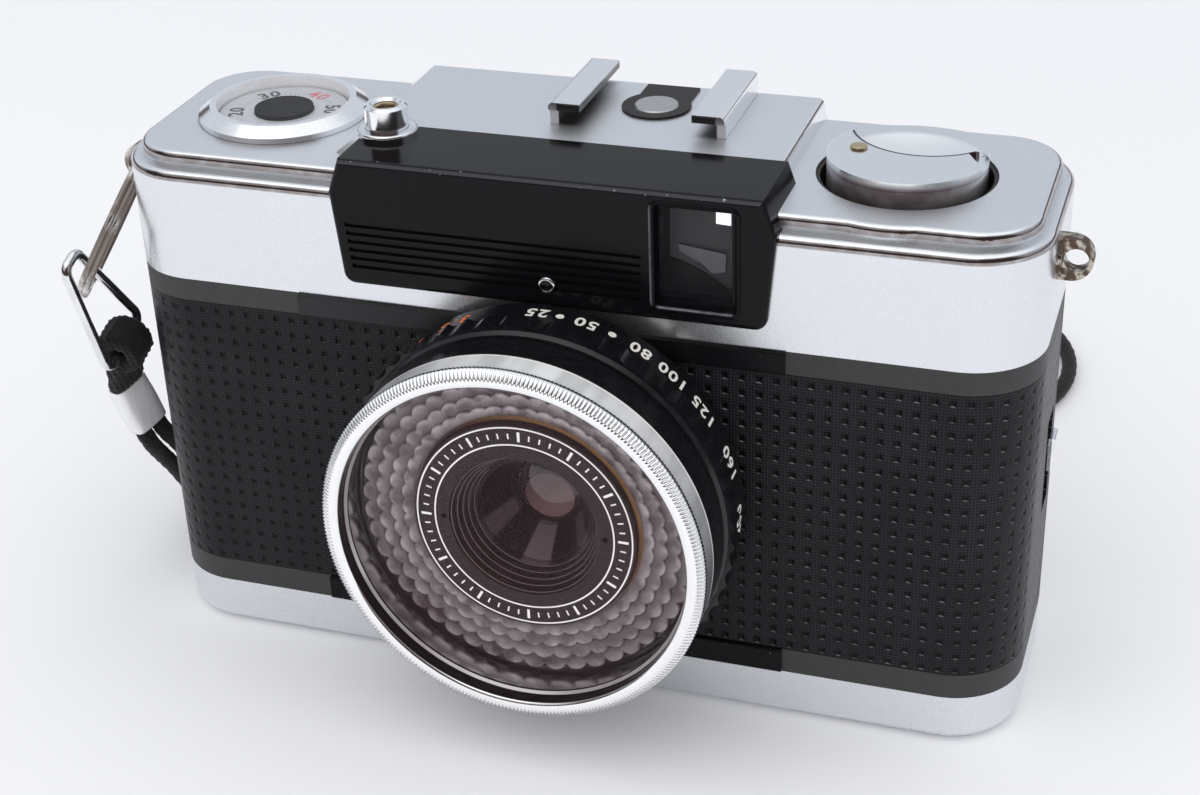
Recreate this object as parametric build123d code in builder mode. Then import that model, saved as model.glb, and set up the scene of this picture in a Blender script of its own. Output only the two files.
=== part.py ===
"""Half frame 35 mm camera, built as separate pieces in millimetres.

The frame: X to the right of someone who faces the lens, the lens looks along -Y, Z is up.
The origin is the mouth of the tripod socket, on the underside, midway through the body.
"""

from build123d import *
from math import pi, radians, tan
import os

os.makedirs("parts", exist_ok=True)

# ---------------------------------------------------------------- driving sizes, millimetres
body_width = 112.0
body_depth = 32.5
corner_radius = 9.0

base_top = 6.9  # upper edge of the bottom cover
grip_bottom = 10.2  # lower edge of the leatherette
grip_top = 48.1
deck_top = 51.0  # the top cover stands here
shoulder_top = 64.9
plate_top = 66.65
hump_top = 69.0
cover_wall = 1.0
shoulder_inset_front = 2.0
shoulder_inset_side = 1.5
shoulder_inset_rear = 1.5

skin = 0.6  # thickness of the leatherette
running_gap = 0.3  # between pieces that move past each other
fit_gap = 0.05  # radial play of a shaft in its hole
seat_gap = 0.02
plate_left = -31.7  # ends and thickness of the front plate
plate_right = 28.1
plate_depth = 1.6
screw_spread = 48.0

front = -body_depth / 2
back = body_depth / 2
half_width = body_width / 2

# lens head, measured forward from the front face
lens_x = 0.6
lens_z = 31.0
lens_base_radius = 22.0
lens_base_length = 1.6
scale_radius = 23.2
scale_end = 6.0
grip_radius = 23.9
grip_end = 8.6
grip_lobes = 54
grip_lobe_depth = 0.45
barrel_radius = 22.5
barrel_sleeve_radius = 21.9
barrel_end = 13.5
thread_radius = 21.75
filter_radius = 22.9
filter_mouth = 20.9
filter_start = 13.6
filter_knurl_start = 17.1
filter_end = 18.3
name_ring_face = 12.9
name_ring_outer = 13.5
name_ring_inner = 9.2
window_outer = 20.6
cone_mouth_radius = 6.6
cone_depth = 4.6
cone_front = 9.0

# front mask with the viewfinder window
mask_x = 0.5
mask_proud = 1.0
mask_depth = 10.8
mask_bottom = 53.5
mask_widest = 65.0
mask_top = hump_top + 0.2
mask_half_top = 25.1
mask_half_widest = 26.6
mask_half_bottom = 25.5
mask_wall = 1.3
mask_edge = 0.7
pin_height = 56.6  # of the index pin in the mask
groove_count = 6
groove_pitch = 1.04
groove_top = 61.2
finder_x = 17.8
finder_z = 61.6
finder_width = 10.0
finder_height = 12.6
glass_width = 8.4
glass_height = 11.0
finder_glass = 1.2
eyepiece_low = 55.7
eyepiece_high = 63.9
eyepiece_middle = (eyepiece_low + eyepiece_high) / 2
eyepiece_half = 6.4
eyepiece_hole = 4.4

# shutter button
button_x = -22.0
button_y = front + 8.2
button_radius = 2.55
button_top = mask_top + 3.7
button_travel = 2.2
collar_radius = 3.6
collar_height = 0.8
release_thread = 1.5
release_depth = 4.5

# frame counter
counter_x = -40.0
counter_y = front + 17.2
counter_bezel = 10.5
counter_window = 8.3
dial_radius = 8.0
dial_top = plate_top + 0.3
bracket_top = dial_top - 7.95
hub_radius = 3.65

# rewind knob
rewind_x = 38.0
rewind_y = front + 16.6
rewind_well = 10.3
rewind_radius = 9.1
rewind_cup_floor = plate_top - 3.25
rewind_base = rewind_cup_floor + 1.0
rewind_rim = plate_top + 1.5
crank_thickness = 1.0
crank_rivet_x = -5.6
crank_rivet_radius = 0.85
crank_hollow_radius = 8.7
crank_hollow_y = 8.1
crank_groove_depth = 2.1
shaft_radius = 1.5
sleeve_radius = 3.0

# accessory shoe
shoe_x = 6.3
shoe_half_outer = 10.7
shoe_wall = 1.1
shoe_lip = 3.9
shoe_height = 2.9
shoe_front = front + 15.8
shoe_back = front + 30.8
contact_y = front + 23.8
contact_radius = 2.7
insulator_radius = 4.2

# strap eyes
eye_x = 58.0
eye_y = front + 12.0
eye_z = 60.6
eye_hole = 1.4
eye_radius = 2.5
eye_thickness = 2.0

# flash socket
flash_x = -26.2
flash_z = 15.5

# film path
bay_radius = 13.1
cassette_x = 38.6
spool_x = -39.5
bay_y = front + 15.0
bay_floor = base_top + 1.3
bay_roof = deck_top - 1.3
cassette_floor = base_top + 0.3
cassette_roof = deck_top + 1.0
cassette_cup_radius = 6.4
cassette_cup_bore = 5.4
gate_width = 18.0
gate_height = 24.0
latch_low = 27.4
latch_high = 36.2
latch_travel = 3.0
hook_low = 29.5  # door's hook beside the latch slide
hook_high = 33.5
spool_low = 10.0
spool_high = 48.6
film_plane = front + 28.4
spool_radius = 6.0
spool_flange = 10.5
sprocket_x = -22.6
sprocket_y = front + 21.0
sprocket_radius = 4.6
sprocket_teeth = 8
film_pitch_z = 28.2

# back door
door_seam = front + 23.3
door_wall = 1.2
door_bottom = base_top + running_gap
door_height_top = deck_top - running_gap
hinge_x = -half_width - 0.4
hinge_y = front + 23.15
hinge_radius = 1.6
hinge_pin_radius = 0.8
hinge_low = 14.0
hinge_high = 44.0
knuckle_length = 6.0

# advance wheel
advance_x = -38.5
advance_radius = 12.3
advance_y = back + 1.1 - advance_radius
advance_bottom = deck_top + 0.6
advance_top = advance_bottom + 3.6
advance_teeth = 60

# underside
socket_radius = 3.17
socket_depth = 6.0
socket_flange = 6.5
release_x = -22.6
release_y = front + 21.0
release_radius = 2.4

# wrist strap
ring_wire = 0.42


# ---------------------------------------------------------------- helpers
def save(builder, name):
    """Label a finished piece and write it as its own file."""
    builder.part.label = name
    export_step(builder.part, f"parts/{name}.step")


def outline(plane, *points):
    """A closed outline of straight runs."""
    with BuildSketch(plane) as shape:
        with BuildLine():
            Polyline(*points, close=True)
        make_face()
    return shape.sketch


def rounded_plate(height, inset=0.0, front_inset=None, back_inset=None):
    """The body's outline in plan at one height, drawn in by an inset."""
    front_in = inset if front_inset is None else front_inset
    back_in = inset if back_inset is None else back_inset
    middle = (front_in - back_in) / 2
    depth = body_depth - front_in - back_in
    radius = corner_radius - max(inset, front_in)
    with BuildSketch(Plane.XY.offset(height)) as shape:
        with Locations((0, middle)):
            RectangleRounded(body_width - 2 * inset, depth, radius)
    return shape.sketch


def slab(x_low, x_high, y_low, y_high, z_low, z_high):
    """A private box between two corners, for cutting and joining."""
    size = (x_high - x_low, y_high - y_low, z_high - z_low)
    middle = ((x_low + x_high) / 2, (y_low + y_high) / 2, (z_low + z_high) / 2)
    return Pos(*middle) * Box(*size, mode=Mode.PRIVATE)


def post(x, y, z_low, z_high, radius):
    """A private upright cylinder."""
    height = z_high - z_low
    return Pos(x, y, z_low + height / 2) * Cylinder(radius, height, mode=Mode.PRIVATE)


def lens_disc(radius, start, end):
    """A private cylinder on the lens axis, start and end measured forward."""
    height = end - start
    upright = Cylinder(radius, height, mode=Mode.PRIVATE)
    return lens_plane.offset(start + height / 2).location * upright


lens_plane = Plane(origin=(lens_x, front, lens_z), x_dir=(1, 0, 0), z_dir=(0, -1, 0))
lens_half = Plane(origin=(lens_x, front, lens_z), x_dir=(1, 0, 0), z_dir=(0, 0, -1))
lens_axis = Axis((lens_x, front, lens_z), (0, -1, 0))


def upright_half(x, y):
    """The plane in which a profile for turning about a vertical axis is drawn."""
    return Plane(origin=(x, y, 0), x_dir=(1, 0, 0), z_dir=(0, -1, 0))


def mask_outline(plane, inset=0.0):
    """Six-sided front of the mask: it widens a little, then tapers to a rounded foot."""
    top = mask_half_top - inset
    middle = mask_half_widest - inset
    foot = mask_half_bottom - inset
    with BuildSketch(plane) as shape:
        with BuildLine():
            Polyline(
                (mask_x - top, mask_top - inset),
                (mask_x + top, mask_top - inset),
                (mask_x + middle, mask_widest),
                (mask_x + foot, mask_bottom + inset),
                (mask_x - foot, mask_bottom + inset),
                (mask_x - middle, mask_widest),
                close=True,
            )
        make_face()
        fillet(shape.vertices().group_by(Axis.Y)[0], 1.5)
    return shape.sketch


facing = Plane(origin=(0, front, 0), x_dir=(1, 0, 0), z_dir=(0, -1, 0))


def latch_pocket(depth):
    """Room in the body's side for the latch slide and its travel."""
    low = latch_low - latch_travel - 0.4
    return slab(
        half_width - depth, half_width + 2, front + 16.6, front + 21.4, low, latch_high + 0.4
    )


# ---------------------------------------------------------------- body casting
def casting_blank():
    """Outer block of the die casting, with the bays, the gate and the film path cut in."""
    seam = door_seam - running_gap
    tray = door_wall + skin + 0.8
    with BuildPart() as blank:
        extrude(rounded_plate(base_top), amount=deck_top - base_top)
        add(slab(-60, 60, seam, back + 5, base_top, deck_top), mode=Mode.SUBTRACT)
        with BuildSketch(Plane.XY.offset(grip_bottom)) as recess:
            RectangleRounded(body_width + 4, body_depth + 4, corner_radius)
            RectangleRounded(
                body_width - 2 * skin,
                body_depth - 2 * skin,
                corner_radius - skin,
                mode=Mode.SUBTRACT,
            )
        extrude(amount=grip_top - grip_bottom, mode=Mode.SUBTRACT)
        extrude(rounded_plate(base_top, tray), amount=deck_top - base_top)
        rear = back - door_wall - skin - 0.4
        add(slab(-60, 60, rear, back + 5, 0, 60), mode=Mode.SUBTRACT)
    return blank.part


def light_tunnel():
    """Room of the light on its way to the film, widening towards the gate."""
    with BuildPart() as tunnel:
        with BuildSketch(Plane.XZ.offset(-(film_plane + 0.1))):
            with Locations((lens_x, lens_z)):
                Rectangle(gate_width, gate_height)
        with BuildSketch(Plane.XZ.offset(-(front + 12.5))):
            with Locations((lens_x, lens_z)):
                Rectangle(13.0, 14.0)
        loft()
    return tunnel.part


with BuildPart() as body_casting:
    add(casting_blank())
    inside = half_width - 3.8
    # the film path across the back, and the two bays that open into it
    add(slab(-inside, inside, front + 22.0, back + 5, bay_floor, bay_roof), mode=Mode.SUBTRACT)
    add(post(cassette_x, bay_y, bay_floor, bay_roof, bay_radius), mode=Mode.SUBTRACT)
    add(post(spool_x, bay_y, bay_floor, bay_roof, bay_radius - 0.5), mode=Mode.SUBTRACT)
    add(
        slab(cassette_x - bay_radius, cassette_x + bay_radius, bay_y, back, bay_floor, bay_roof),
        mode=Mode.SUBTRACT,
    )
    add(slab(-inside, spool_x + 12.6, bay_y, back, bay_floor, bay_roof), mode=Mode.SUBTRACT)
    # room for the ends of the film cassette, above and below the decks
    add(post(cassette_x, bay_y, cassette_floor - 1.0, base_top + 0.2, bay_radius + 0.8))
    add(post(cassette_x, bay_y, deck_top - 0.2, cassette_roof + 1.2, bay_radius + 0.8))
    add(post(cassette_x, bay_y, cassette_floor, cassette_roof, bay_radius), mode=Mode.SUBTRACT)
    cup_hole = post(cassette_x, bay_y, base_top - 2, base_top + 2, cassette_cup_bore)
    add(cup_hole, mode=Mode.SUBTRACT)
    # the well of the shutter and the tapering light tunnel
    add(lens_disc(17.5, -13.0, 1.0), mode=Mode.SUBTRACT)
    add(lens_disc(20.0, -3.2, 1.0), mode=Mode.SUBTRACT)
    add(light_tunnel(), mode=Mode.SUBTRACT)
    # sprocket well
    add(post(sprocket_x, sprocket_y, bay_floor, bay_roof, 6.4), mode=Mode.SUBTRACT)
    # shaft holes through the decks
    for hole_x, hole_y, hole_radius in (
        (rewind_x, rewind_y, sleeve_radius + running_gap),
        (spool_x, bay_y, shaft_radius + fit_gap),
        (sprocket_x, sprocket_y, shaft_radius + fit_gap),
    ):
        add(post(hole_x, hole_y, 40, 60, hole_radius), mode=Mode.SUBTRACT)
    add(post(spool_x, bay_y, 6, 10, shaft_radius + fit_gap), mode=Mode.SUBTRACT)
    add(post(sprocket_x, sprocket_y, 6, 10, shaft_radius + fit_gap), mode=Mode.SUBTRACT)
    # hinge knuckles, with a notch for the door's knuckle between them
    add(post(hinge_x, hinge_y, hinge_low, hinge_high, hinge_radius + running_gap), mode=Mode.SUBTRACT)
    for low in (hinge_low, hinge_high - knuckle_length):
        knuckle = post(hinge_x, hinge_y, low, low + knuckle_length, hinge_radius)
        arm = slab(hinge_x, hinge_x + 3.0, hinge_y - 3.2, hinge_y - 0.4, low, low + knuckle_length)
        add(knuckle)
        add(arm)
    add(
        post(hinge_x, hinge_y, hinge_low - 1, hinge_high + 1, hinge_pin_radius + fit_gap),
        mode=Mode.SUBTRACT,
    )
    # pocket of the latch slide and the slot for the door's hook
    add(latch_pocket(1.9), mode=Mode.SUBTRACT)
    add(
        slab(half_width - 3.4, half_width - 1.8, front + 15.5, back, hook_low - 1, hook_high + 1),
        mode=Mode.SUBTRACT,
    )
    # place of the flash socket
    add(
        Pos(flash_x, front + 2.5, flash_z) * Rot(90, 0, 0) * Cylinder(2.7, 6, mode=Mode.PRIVATE),
        mode=Mode.SUBTRACT,
    )
    # threaded holes for the screws of the bottom cover
    for screw_x in (-screw_spread, screw_spread):
        add(post(screw_x, 0, base_top - 1, base_top + 1.25, 0.97), mode=Mode.SUBTRACT)
    # place of the front plate
    add(
        slab(plate_left, plate_right, front - 1, front + plate_depth, base_top - 1, deck_top + 1),
        mode=Mode.SUBTRACT,
    )
save(body_casting, "body_casting")

# block with the film gate and its two rails, set between the bays
with BuildPart() as film_gate_block:
    gate_half = gate_width / 2 + 5.5
    block_front = front + 22.0
    add(
        slab(
            lens_x - gate_half,
            lens_x + gate_half,
            block_front,
            film_plane - 0.6,
            bay_floor,
            bay_roof,
        )
    )
    for side in (-1, 1):
        rail_z = lens_z + side * (gate_height / 2 + 1.6)
        add(
            slab(
                lens_x - gate_half,
                lens_x + gate_half,
                film_plane - 0.7,
                film_plane,
                rail_z - 0.7,
                rail_z + 0.7,
            )
        )
    add(light_tunnel(), mode=Mode.SUBTRACT)
save(film_gate_block, "film_gate_block")

# cup under the cassette's bay, for the end of its spool
with BuildPart() as cassette_cup:
    add(post(cassette_x, bay_y, 1.7, cassette_floor - 1.0, cassette_cup_radius))
    add(post(cassette_x, bay_y, 2.7, base_top, cassette_cup_bore), mode=Mode.SUBTRACT)
save(cassette_cup, "cassette_cup")

# front plate: carries the shutter, with proud lips above and below the leatherette
with BuildPart() as front_plate:
    add(slab(plate_left, plate_right, front + skin, front + plate_depth, base_top, deck_top))
    add(slab(plate_left, plate_right, front - 0.5, front + plate_depth, grip_top, deck_top))
    add(slab(plate_left, plate_right, front - 0.5, front + plate_depth, base_top, grip_bottom))
    lip_edges = front_plate.edges().filter_by(Axis.X).group_by(Axis.Y)[0]
    fillet(lip_edges, 0.35)
    add(lens_disc(17.5, -3, 1.0), mode=Mode.SUBTRACT)
    add(lens_disc(lens_base_radius + seat_gap, 0, 1.0), mode=Mode.SUBTRACT)
    add(
        Pos(flash_x, front + 2.5, flash_z) * Rot(90, 0, 0) * Cylinder(2.7, 6, mode=Mode.PRIVATE),
        mode=Mode.SUBTRACT,
    )
save(front_plate, "front_plate")

# leatherette on the front and round both corners: the lens base parts it in two
def covering(side):
    """Leatherette on one side of the lens, wrapped round that corner of the body."""
    with BuildPart() as half:
        with BuildSketch(Plane.XY.offset(grip_bottom + 0.05)):
            RectangleRounded(body_width, body_depth, corner_radius)
            RectangleRounded(
                body_width - 2 * skin,
                body_depth - 2 * skin,
                corner_radius - skin,
                mode=Mode.SUBTRACT,
            )
        extrude(amount=grip_top - grip_bottom - 0.1)
        add(slab(-70, 70, door_seam - running_gap, back + 5, 0, 60), mode=Mode.SUBTRACT)
        other_low, other_high = sorted((lens_x, lens_x - side * 80))
        add(slab(other_low, other_high, front - 5, back + 5, 0, 60), mode=Mode.SUBTRACT)
        add(lens_disc(lens_base_radius + 0.1, -2, 3), mode=Mode.SUBTRACT)
        if side < 0:
            socket_hole = Rot(90, 0, 0) * Cylinder(3.4, 6, mode=Mode.PRIVATE)
            add(Pos(flash_x, front, flash_z) * socket_hole, mode=Mode.SUBTRACT)
            add(post(hinge_x, hinge_y, hinge_low - 0.3, hinge_high + 0.3, 3.7), mode=Mode.SUBTRACT)
        else:
            add(latch_pocket(2.0), mode=Mode.SUBTRACT)
    return half.part


with BuildPart() as front_leatherette:
    add(covering(-1))
    add(covering(1))
save(front_leatherette, "front_leatherette")

# flash socket: a chrome collar with an insulated pin
with BuildPart() as flash_socket:
    socket_plane = Plane(origin=(flash_x, front, flash_z), x_dir=(1, 0, 0), z_dir=(0, -1, 0))
    with BuildSketch(socket_plane.offset(-4.0)):
        Circle(2.65)
        Circle(1.6, mode=Mode.SUBTRACT)
    extrude(amount=6.0)
    with BuildSketch(socket_plane.offset(-skin + 0.6)):
        Circle(3.3)
        Circle(1.6, mode=Mode.SUBTRACT)
    extrude(amount=2.4)
    chamfer(flash_socket.edges().group_by(Axis.Y)[0].sort_by(SortBy.RADIUS)[-1], 0.4)
    with BuildSketch(socket_plane.offset(-4.0)):
        Circle(1.6)
    extrude(amount=1.2)
    with BuildSketch(socket_plane.offset(-3.0)):
        Circle(0.5)
    extrude(amount=4.4)
save(flash_socket, "flash_socket")


# ---------------------------------------------------------------- covers
def cover_volume(inset, drop):
    """Stepped form of the top cover, or of the hollow in it when drawn in by a wall."""
    with BuildPart() as volume:
        extrude(rounded_plate(deck_top, inset), amount=shoulder_top - drop - deck_top)
        if inset == 0:
            fillet(volume.edges().group_by(Axis.Z)[-1], 0.9)
        plateau = rounded_plate(
            shoulder_top - 3,
            shoulder_inset_side + inset,
            shoulder_inset_front + inset,
            shoulder_inset_rear + inset,
        )
        extrude(plateau, amount=plate_top - drop - shoulder_top + 3)
        with BuildSketch(Plane.XY.offset(shoulder_top - 3)):
            with Locations((rewind_x, rewind_y)):
                Circle(15.1 - inset)
        extrude(amount=plate_top - drop - shoulder_top + 3)
        if inset == 0:
            fillet(volume.edges().group_by(Axis.Z)[-1], 0.8)
        hump = outline(
            facing.offset(-(mask_depth + 2.0)),
            (-30.0 + inset, plate_top - 2.0),
            (-28.3 + inset, plate_top),
            (-25.4 + inset / 2, hump_top - drop),
            (25.0 - inset, hump_top - drop),
            (25.9 - inset, plate_top - 2.0),
        )
        hump_end = back - shoulder_inset_rear + 0.2 - inset
        extrude(hump, amount=-(hump_end - front - mask_depth - 2.0))
        extrude(hump, amount=6.0)
    return volume.part


with BuildPart() as top_cover:
    add(cover_volume(0.0, 0.0))
    hump_edges = top_cover.edges().group_by(Axis.Z)[-1]
    fillet(hump_edges.filter_by(Axis.Y).sort_by(Axis.X)[-1], 0.7)
    add(cover_volume(cover_wall, cover_wall), mode=Mode.SUBTRACT)
    # the mask fills the front of the cover
    extrude(mask_outline(facing.offset(2.0)), amount=-(mask_depth + 2.0), mode=Mode.SUBTRACT)
    add(slab(-24.2, 25.2, front - 3, front + mask_depth, mask_widest, 75), mode=Mode.SUBTRACT)
    # counter window, rewind well
    add(post(counter_x, counter_y, 60, 70, counter_window + 0.6), mode=Mode.SUBTRACT)
    add(post(rewind_x, rewind_y, 60, 70, rewind_well), mode=Mode.SUBTRACT)
    # slots of the accessory shoe and the hole of its contact
    for side in (-1, 1):
        slot_x = shoe_x + side * (shoe_half_outer - shoe_wall / 2)
        slot_half = shoe_wall / 2 + seat_gap
        add(
            slab(slot_x - slot_half, slot_x + slot_half, shoe_front, shoe_back, 60, 72),
            mode=Mode.SUBTRACT,
        )
    add(post(shoe_x, contact_y, 60, 72, contact_radius - 0.6), mode=Mode.SUBTRACT)
    # eyepiece and advance wheel in the rear wall
    add(slab(
            finder_x - eyepiece_half - 0.1,
            finder_x + eyepiece_half + 0.1,
            back - 4,
            back + 3,
            eyepiece_low - 0.1,
            eyepiece_high + 0.1,
        ), mode=Mode.SUBTRACT)
    add(
        slab(advance_x - 9, advance_x + 9, back - 4, back + 3, advance_bottom - 0.6, advance_top + 0.5),
        mode=Mode.SUBTRACT,
    )
    # seats of the strap eyes
    for side in (-1, 1):
        add(
            Pos(side * half_width, eye_y, eye_z)
            * Rot(0, 90, 0)
            * Cylinder(1.6, 6, mode=Mode.PRIVATE),
            mode=Mode.SUBTRACT,
        )
save(top_cover, "top_cover")

with BuildPart() as bottom_cover:
    extrude(rounded_plate(0.0), amount=base_top)
    fillet(bottom_cover.edges().group_by(Axis.Z)[0], 2.4)
    extrude(rounded_plate(cover_wall, cover_wall), amount=base_top, mode=Mode.SUBTRACT)
    add(post(0, 0, -1, 5, socket_radius + 2.0), mode=Mode.SUBTRACT)
    add(post(release_x, release_y, -1, 5, release_radius + running_gap), mode=Mode.SUBTRACT)
    for screw_x in (-screw_spread, screw_spread):
        add(post(screw_x, 0, -1, 5, 1.0), mode=Mode.SUBTRACT)
        add(post(screw_x, 0, -1, 0.5, 2.1), mode=Mode.SUBTRACT)
save(bottom_cover, "bottom_cover")

# two slotted screws up through the bottom cover into the casting's deck
with BuildPart() as bottom_screws:
    for screw_x in (-screw_spread, screw_spread):
        add(post(screw_x, 0, 0.1, 0.5, 2.0))
        add(post(screw_x, 0, 0.4, base_top + 1.2, 0.95))
        add(slab(screw_x - 2, screw_x + 2, -0.25, 0.25, 0, 0.3), mode=Mode.SUBTRACT)
save(bottom_screws, "bottom_screws")

with BuildPart() as tripod_socket:
    add(post(0, 0, 0.0, base_top, socket_radius + 1.95))
    add(post(0, 0, cover_wall, cover_wall + 1.4, socket_flange))
    add(post(0, 0, -1, socket_depth, socket_radius), mode=Mode.SUBTRACT)
save(tripod_socket, "tripod_socket")

# ---------------------------------------------------------------- front mask and finder
with BuildPart() as front_mask:
    extrude(mask_outline(facing.offset(mask_proud)), amount=-(mask_depth + mask_proud))
    fillet(front_mask.edges().group_by(Axis.Y)[0], mask_edge)
    hollow_depth = mask_depth - 1.6
    extrude(mask_outline(facing.offset(-1.6), mask_wall), amount=-hollow_depth - 1, mode=Mode.SUBTRACT)
    # grooves, shorter on the left where the outline tapers
    for row in range(groove_count):
        groove_z = groove_top - row * groove_pitch
        taper = (mask_widest - groove_z) / (mask_widest - mask_bottom)
        left = mask_x - mask_half_widest + taper * (mask_half_widest - mask_half_bottom) + 1.5
        add(
            slab(left, 11.7, front - 2, front - mask_proud + 0.4, groove_z - 0.27, groove_z + 0.27),
            mode=Mode.SUBTRACT,
        )
    # stepped window of the finder
    with BuildSketch(facing.offset(mask_proud)):
        with Locations((finder_x, finder_z)):
            Rectangle(finder_width, finder_height)
    extrude(amount=-1.0, taper=18, mode=Mode.SUBTRACT)
    add(
        slab(
            finder_x - glass_width / 2,
            finder_x + glass_width / 2,
            front - 3,
            front + 5,
            finder_z - glass_height / 2,
            finder_z + glass_height / 2,
        ),
        mode=Mode.SUBTRACT,
    )
    add(post(button_x, button_y, 58, 75, button_radius + 0.1), mode=Mode.SUBTRACT)
    add(
        Pos(lens_x, front, pin_height) * Rot(90, 0, 0) * Cylinder(0.7, 8, mode=Mode.PRIVATE),
        mode=Mode.SUBTRACT,
    )
save(front_mask, "front_mask")

with BuildPart() as index_pin:
    pin_plane = Plane(origin=(lens_x, front - mask_proud, pin_height), x_dir=(1, 0, 0), z_dir=(0, -1, 0))
    with BuildSketch(pin_plane.offset(0)):
        Circle(1.0)
    extrude(amount=0.7)
    fillet(index_pin.edges().group_by(Axis.Y)[0], 0.3)
    with BuildSketch(pin_plane):
        Circle(0.68)
    extrude(amount=-2.6)
save(index_pin, "index_pin")

# the finder's tunnel, narrowing from the front window to the eyepiece
tunnel_front = front + 1.6
tunnel_back = back - 2.2
with BuildPart() as finder_tunnel:
    with BuildSketch(Plane.XZ.offset(-tunnel_front)):
        with Locations((finder_x - 0.3, finder_z - 0.2)):
            Rectangle(10.6, 12.6)
    with BuildSketch(Plane.XZ.offset(-tunnel_back)):
        with Locations((finder_x, eyepiece_middle)):
            Rectangle(11.6, 7.0)
    loft()
    with BuildSketch(Plane.XZ.offset(-(tunnel_front - 0.1))):
        with Locations((finder_x, finder_z - 0.2)):
            Rectangle(8.6, 11.4)
    with BuildSketch(Plane.XZ.offset(-(tunnel_back + 0.1))):
        with Locations((finder_x, eyepiece_middle)):
            Rectangle(9.0, 5.4)
    loft(mode=Mode.SUBTRACT)
save(finder_tunnel, "finder_tunnel")

with BuildPart() as eyepiece_frame:
    add(
        slab(
            finder_x - eyepiece_half,
            finder_x + eyepiece_half,
            tunnel_back,
            back + 0.5,
            eyepiece_low,
            eyepiece_high,
        )
    )
    fillet(eyepiece_frame.edges().filter_by(Axis.Y), 0.8)
    fillet(eyepiece_frame.edges().group_by(Axis.Y)[-1], 0.3)
    add(
        slab(
            finder_x - eyepiece_hole,
            finder_x + eyepiece_hole,
            back - 6,
            back + 3,
            eyepiece_low + 1.5,
            eyepiece_high - 1.5,
        ),
        mode=Mode.SUBTRACT,
    )
save(eyepiece_frame, "eyepiece_frame")

# the finder's front and rear glass
with BuildPart() as finder_glasses:
    half_w = glass_width / 2 - seat_gap
    half_h = glass_height / 2 - seat_gap
    add(
        slab(
            finder_x - half_w,
            finder_x + half_w,
            front + 0.1,
            front + 0.1 + finder_glass,
            finder_z - half_h,
            finder_z + half_h,
        )
    )
    add(
        slab(
            finder_x - eyepiece_hole + 0.03,
            finder_x + eyepiece_hole - 0.03,
            back - 1.3,
            back - 0.3,
            eyepiece_low + 1.53,
            eyepiece_high - 1.53,
        )
    )
save(finder_glasses, "finder_glasses")

# ---------------------------------------------------------------- shutter button
with BuildPart() as button_collar:
    with BuildSketch(Plane.XY.offset(mask_top)):
        with Locations((button_x, button_y)):
            Circle(collar_radius)
            Circle(button_radius + fit_gap, mode=Mode.SUBTRACT)
    extrude(amount=collar_height)
    fillet(button_collar.edges().group_by(Axis.Z)[-1].sort_by(SortBy.RADIUS)[-1], 0.35)
save(button_collar, "button_collar")

button_foot = mask_top - mask_wall - button_travel - 1.6
with BuildPart() as shutter_button:
    add(
        revolve(
            outline(
                upright_half(button_x, button_y),
                (0, button_foot - 3),
                (1.1, button_foot - 3),
                (1.1, button_foot),
                (button_radius, button_foot),
                (button_radius, button_top - 0.3),
                (button_radius - 0.3, button_top),
                (release_thread + 0.35, button_top),
                (release_thread, button_top - 0.35),
                (release_thread, button_top - release_depth),
                (0, button_top - release_depth),
            ),
            axis=Axis((button_x, button_y, 0), (0, 0, 1)),
            mode=Mode.PRIVATE,
        )
    )
save(shutter_button, "shutter_button")

# ---------------------------------------------------------------- frame counter
with BuildPart() as counter_bezel_ring:
    add(
        revolve(
            outline(
                upright_half(counter_x, counter_y),
                (counter_window, plate_top - cover_wall),
                (counter_window + 0.55, plate_top - cover_wall),
                (counter_window + 0.55, plate_top),
                (counter_bezel, plate_top),
                (counter_bezel, plate_top + 0.7),
                (counter_window + 0.75, plate_top + 1.75),
                (counter_window, plate_top + 1.75),
            ),
            axis=Axis((counter_x, counter_y, 0), (0, 0, 1)),
            mode=Mode.PRIVATE,
        )
    )
save(counter_bezel_ring, "counter_bezel")

with BuildPart() as counter_glass:
    add(post(counter_x, counter_y, plate_top + 0.9, plate_top + 1.5, counter_window - seat_gap))
save(counter_glass, "counter_glass")

# the dial, its dark hub and its spindle turn as one
with BuildPart() as counter_dial:
    add(post(counter_x, counter_y, dial_top - 0.4, dial_top, dial_radius))
    add(post(counter_x, counter_y, dial_top, dial_top + 0.5, hub_radius))
    add(post(counter_x, counter_y, bracket_top - 1.5, dial_top - 0.4, 1.2))
save(counter_dial, "counter_dial")

# a bracket on the deck that carries the counter's spindle
bracket_front = advance_y - advance_radius - 2.0
with BuildPart() as counter_bracket:
    add(slab(counter_x - 4, counter_x + 6, bracket_front, counter_y + 3.4, bracket_top - 1, bracket_top))
    add(slab(counter_x - 4, counter_x + 6, bracket_front, bracket_front + 1.0, deck_top, bracket_top))
    add(post(counter_x, counter_y, bracket_top - 4, bracket_top + 3, 1.2 + fit_gap), mode=Mode.SUBTRACT)
save(counter_bracket, "counter_bracket")

# ---------------------------------------------------------------- rewind knob
with BuildPart() as rewind_cup:
    add(post(rewind_x, rewind_y, rewind_cup_floor - 0.8, plate_top - 0.3, rewind_well - seat_gap))
    add(post(rewind_x, rewind_y, rewind_cup_floor, 70, rewind_well - 0.5), mode=Mode.SUBTRACT)
    add(post(rewind_x, rewind_y, 60, 70, sleeve_radius + fit_gap), mode=Mode.SUBTRACT)
save(rewind_cup, "rewind_cup")

with BuildPart() as rewind_sleeve:
    add(post(rewind_x, rewind_y, cassette_roof + 0.2, rewind_base - 0.5, sleeve_radius))
    add(post(rewind_x, rewind_y, 40, 70, shaft_radius + fit_gap), mode=Mode.SUBTRACT)
save(rewind_sleeve, "rewind_sleeve")

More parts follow.
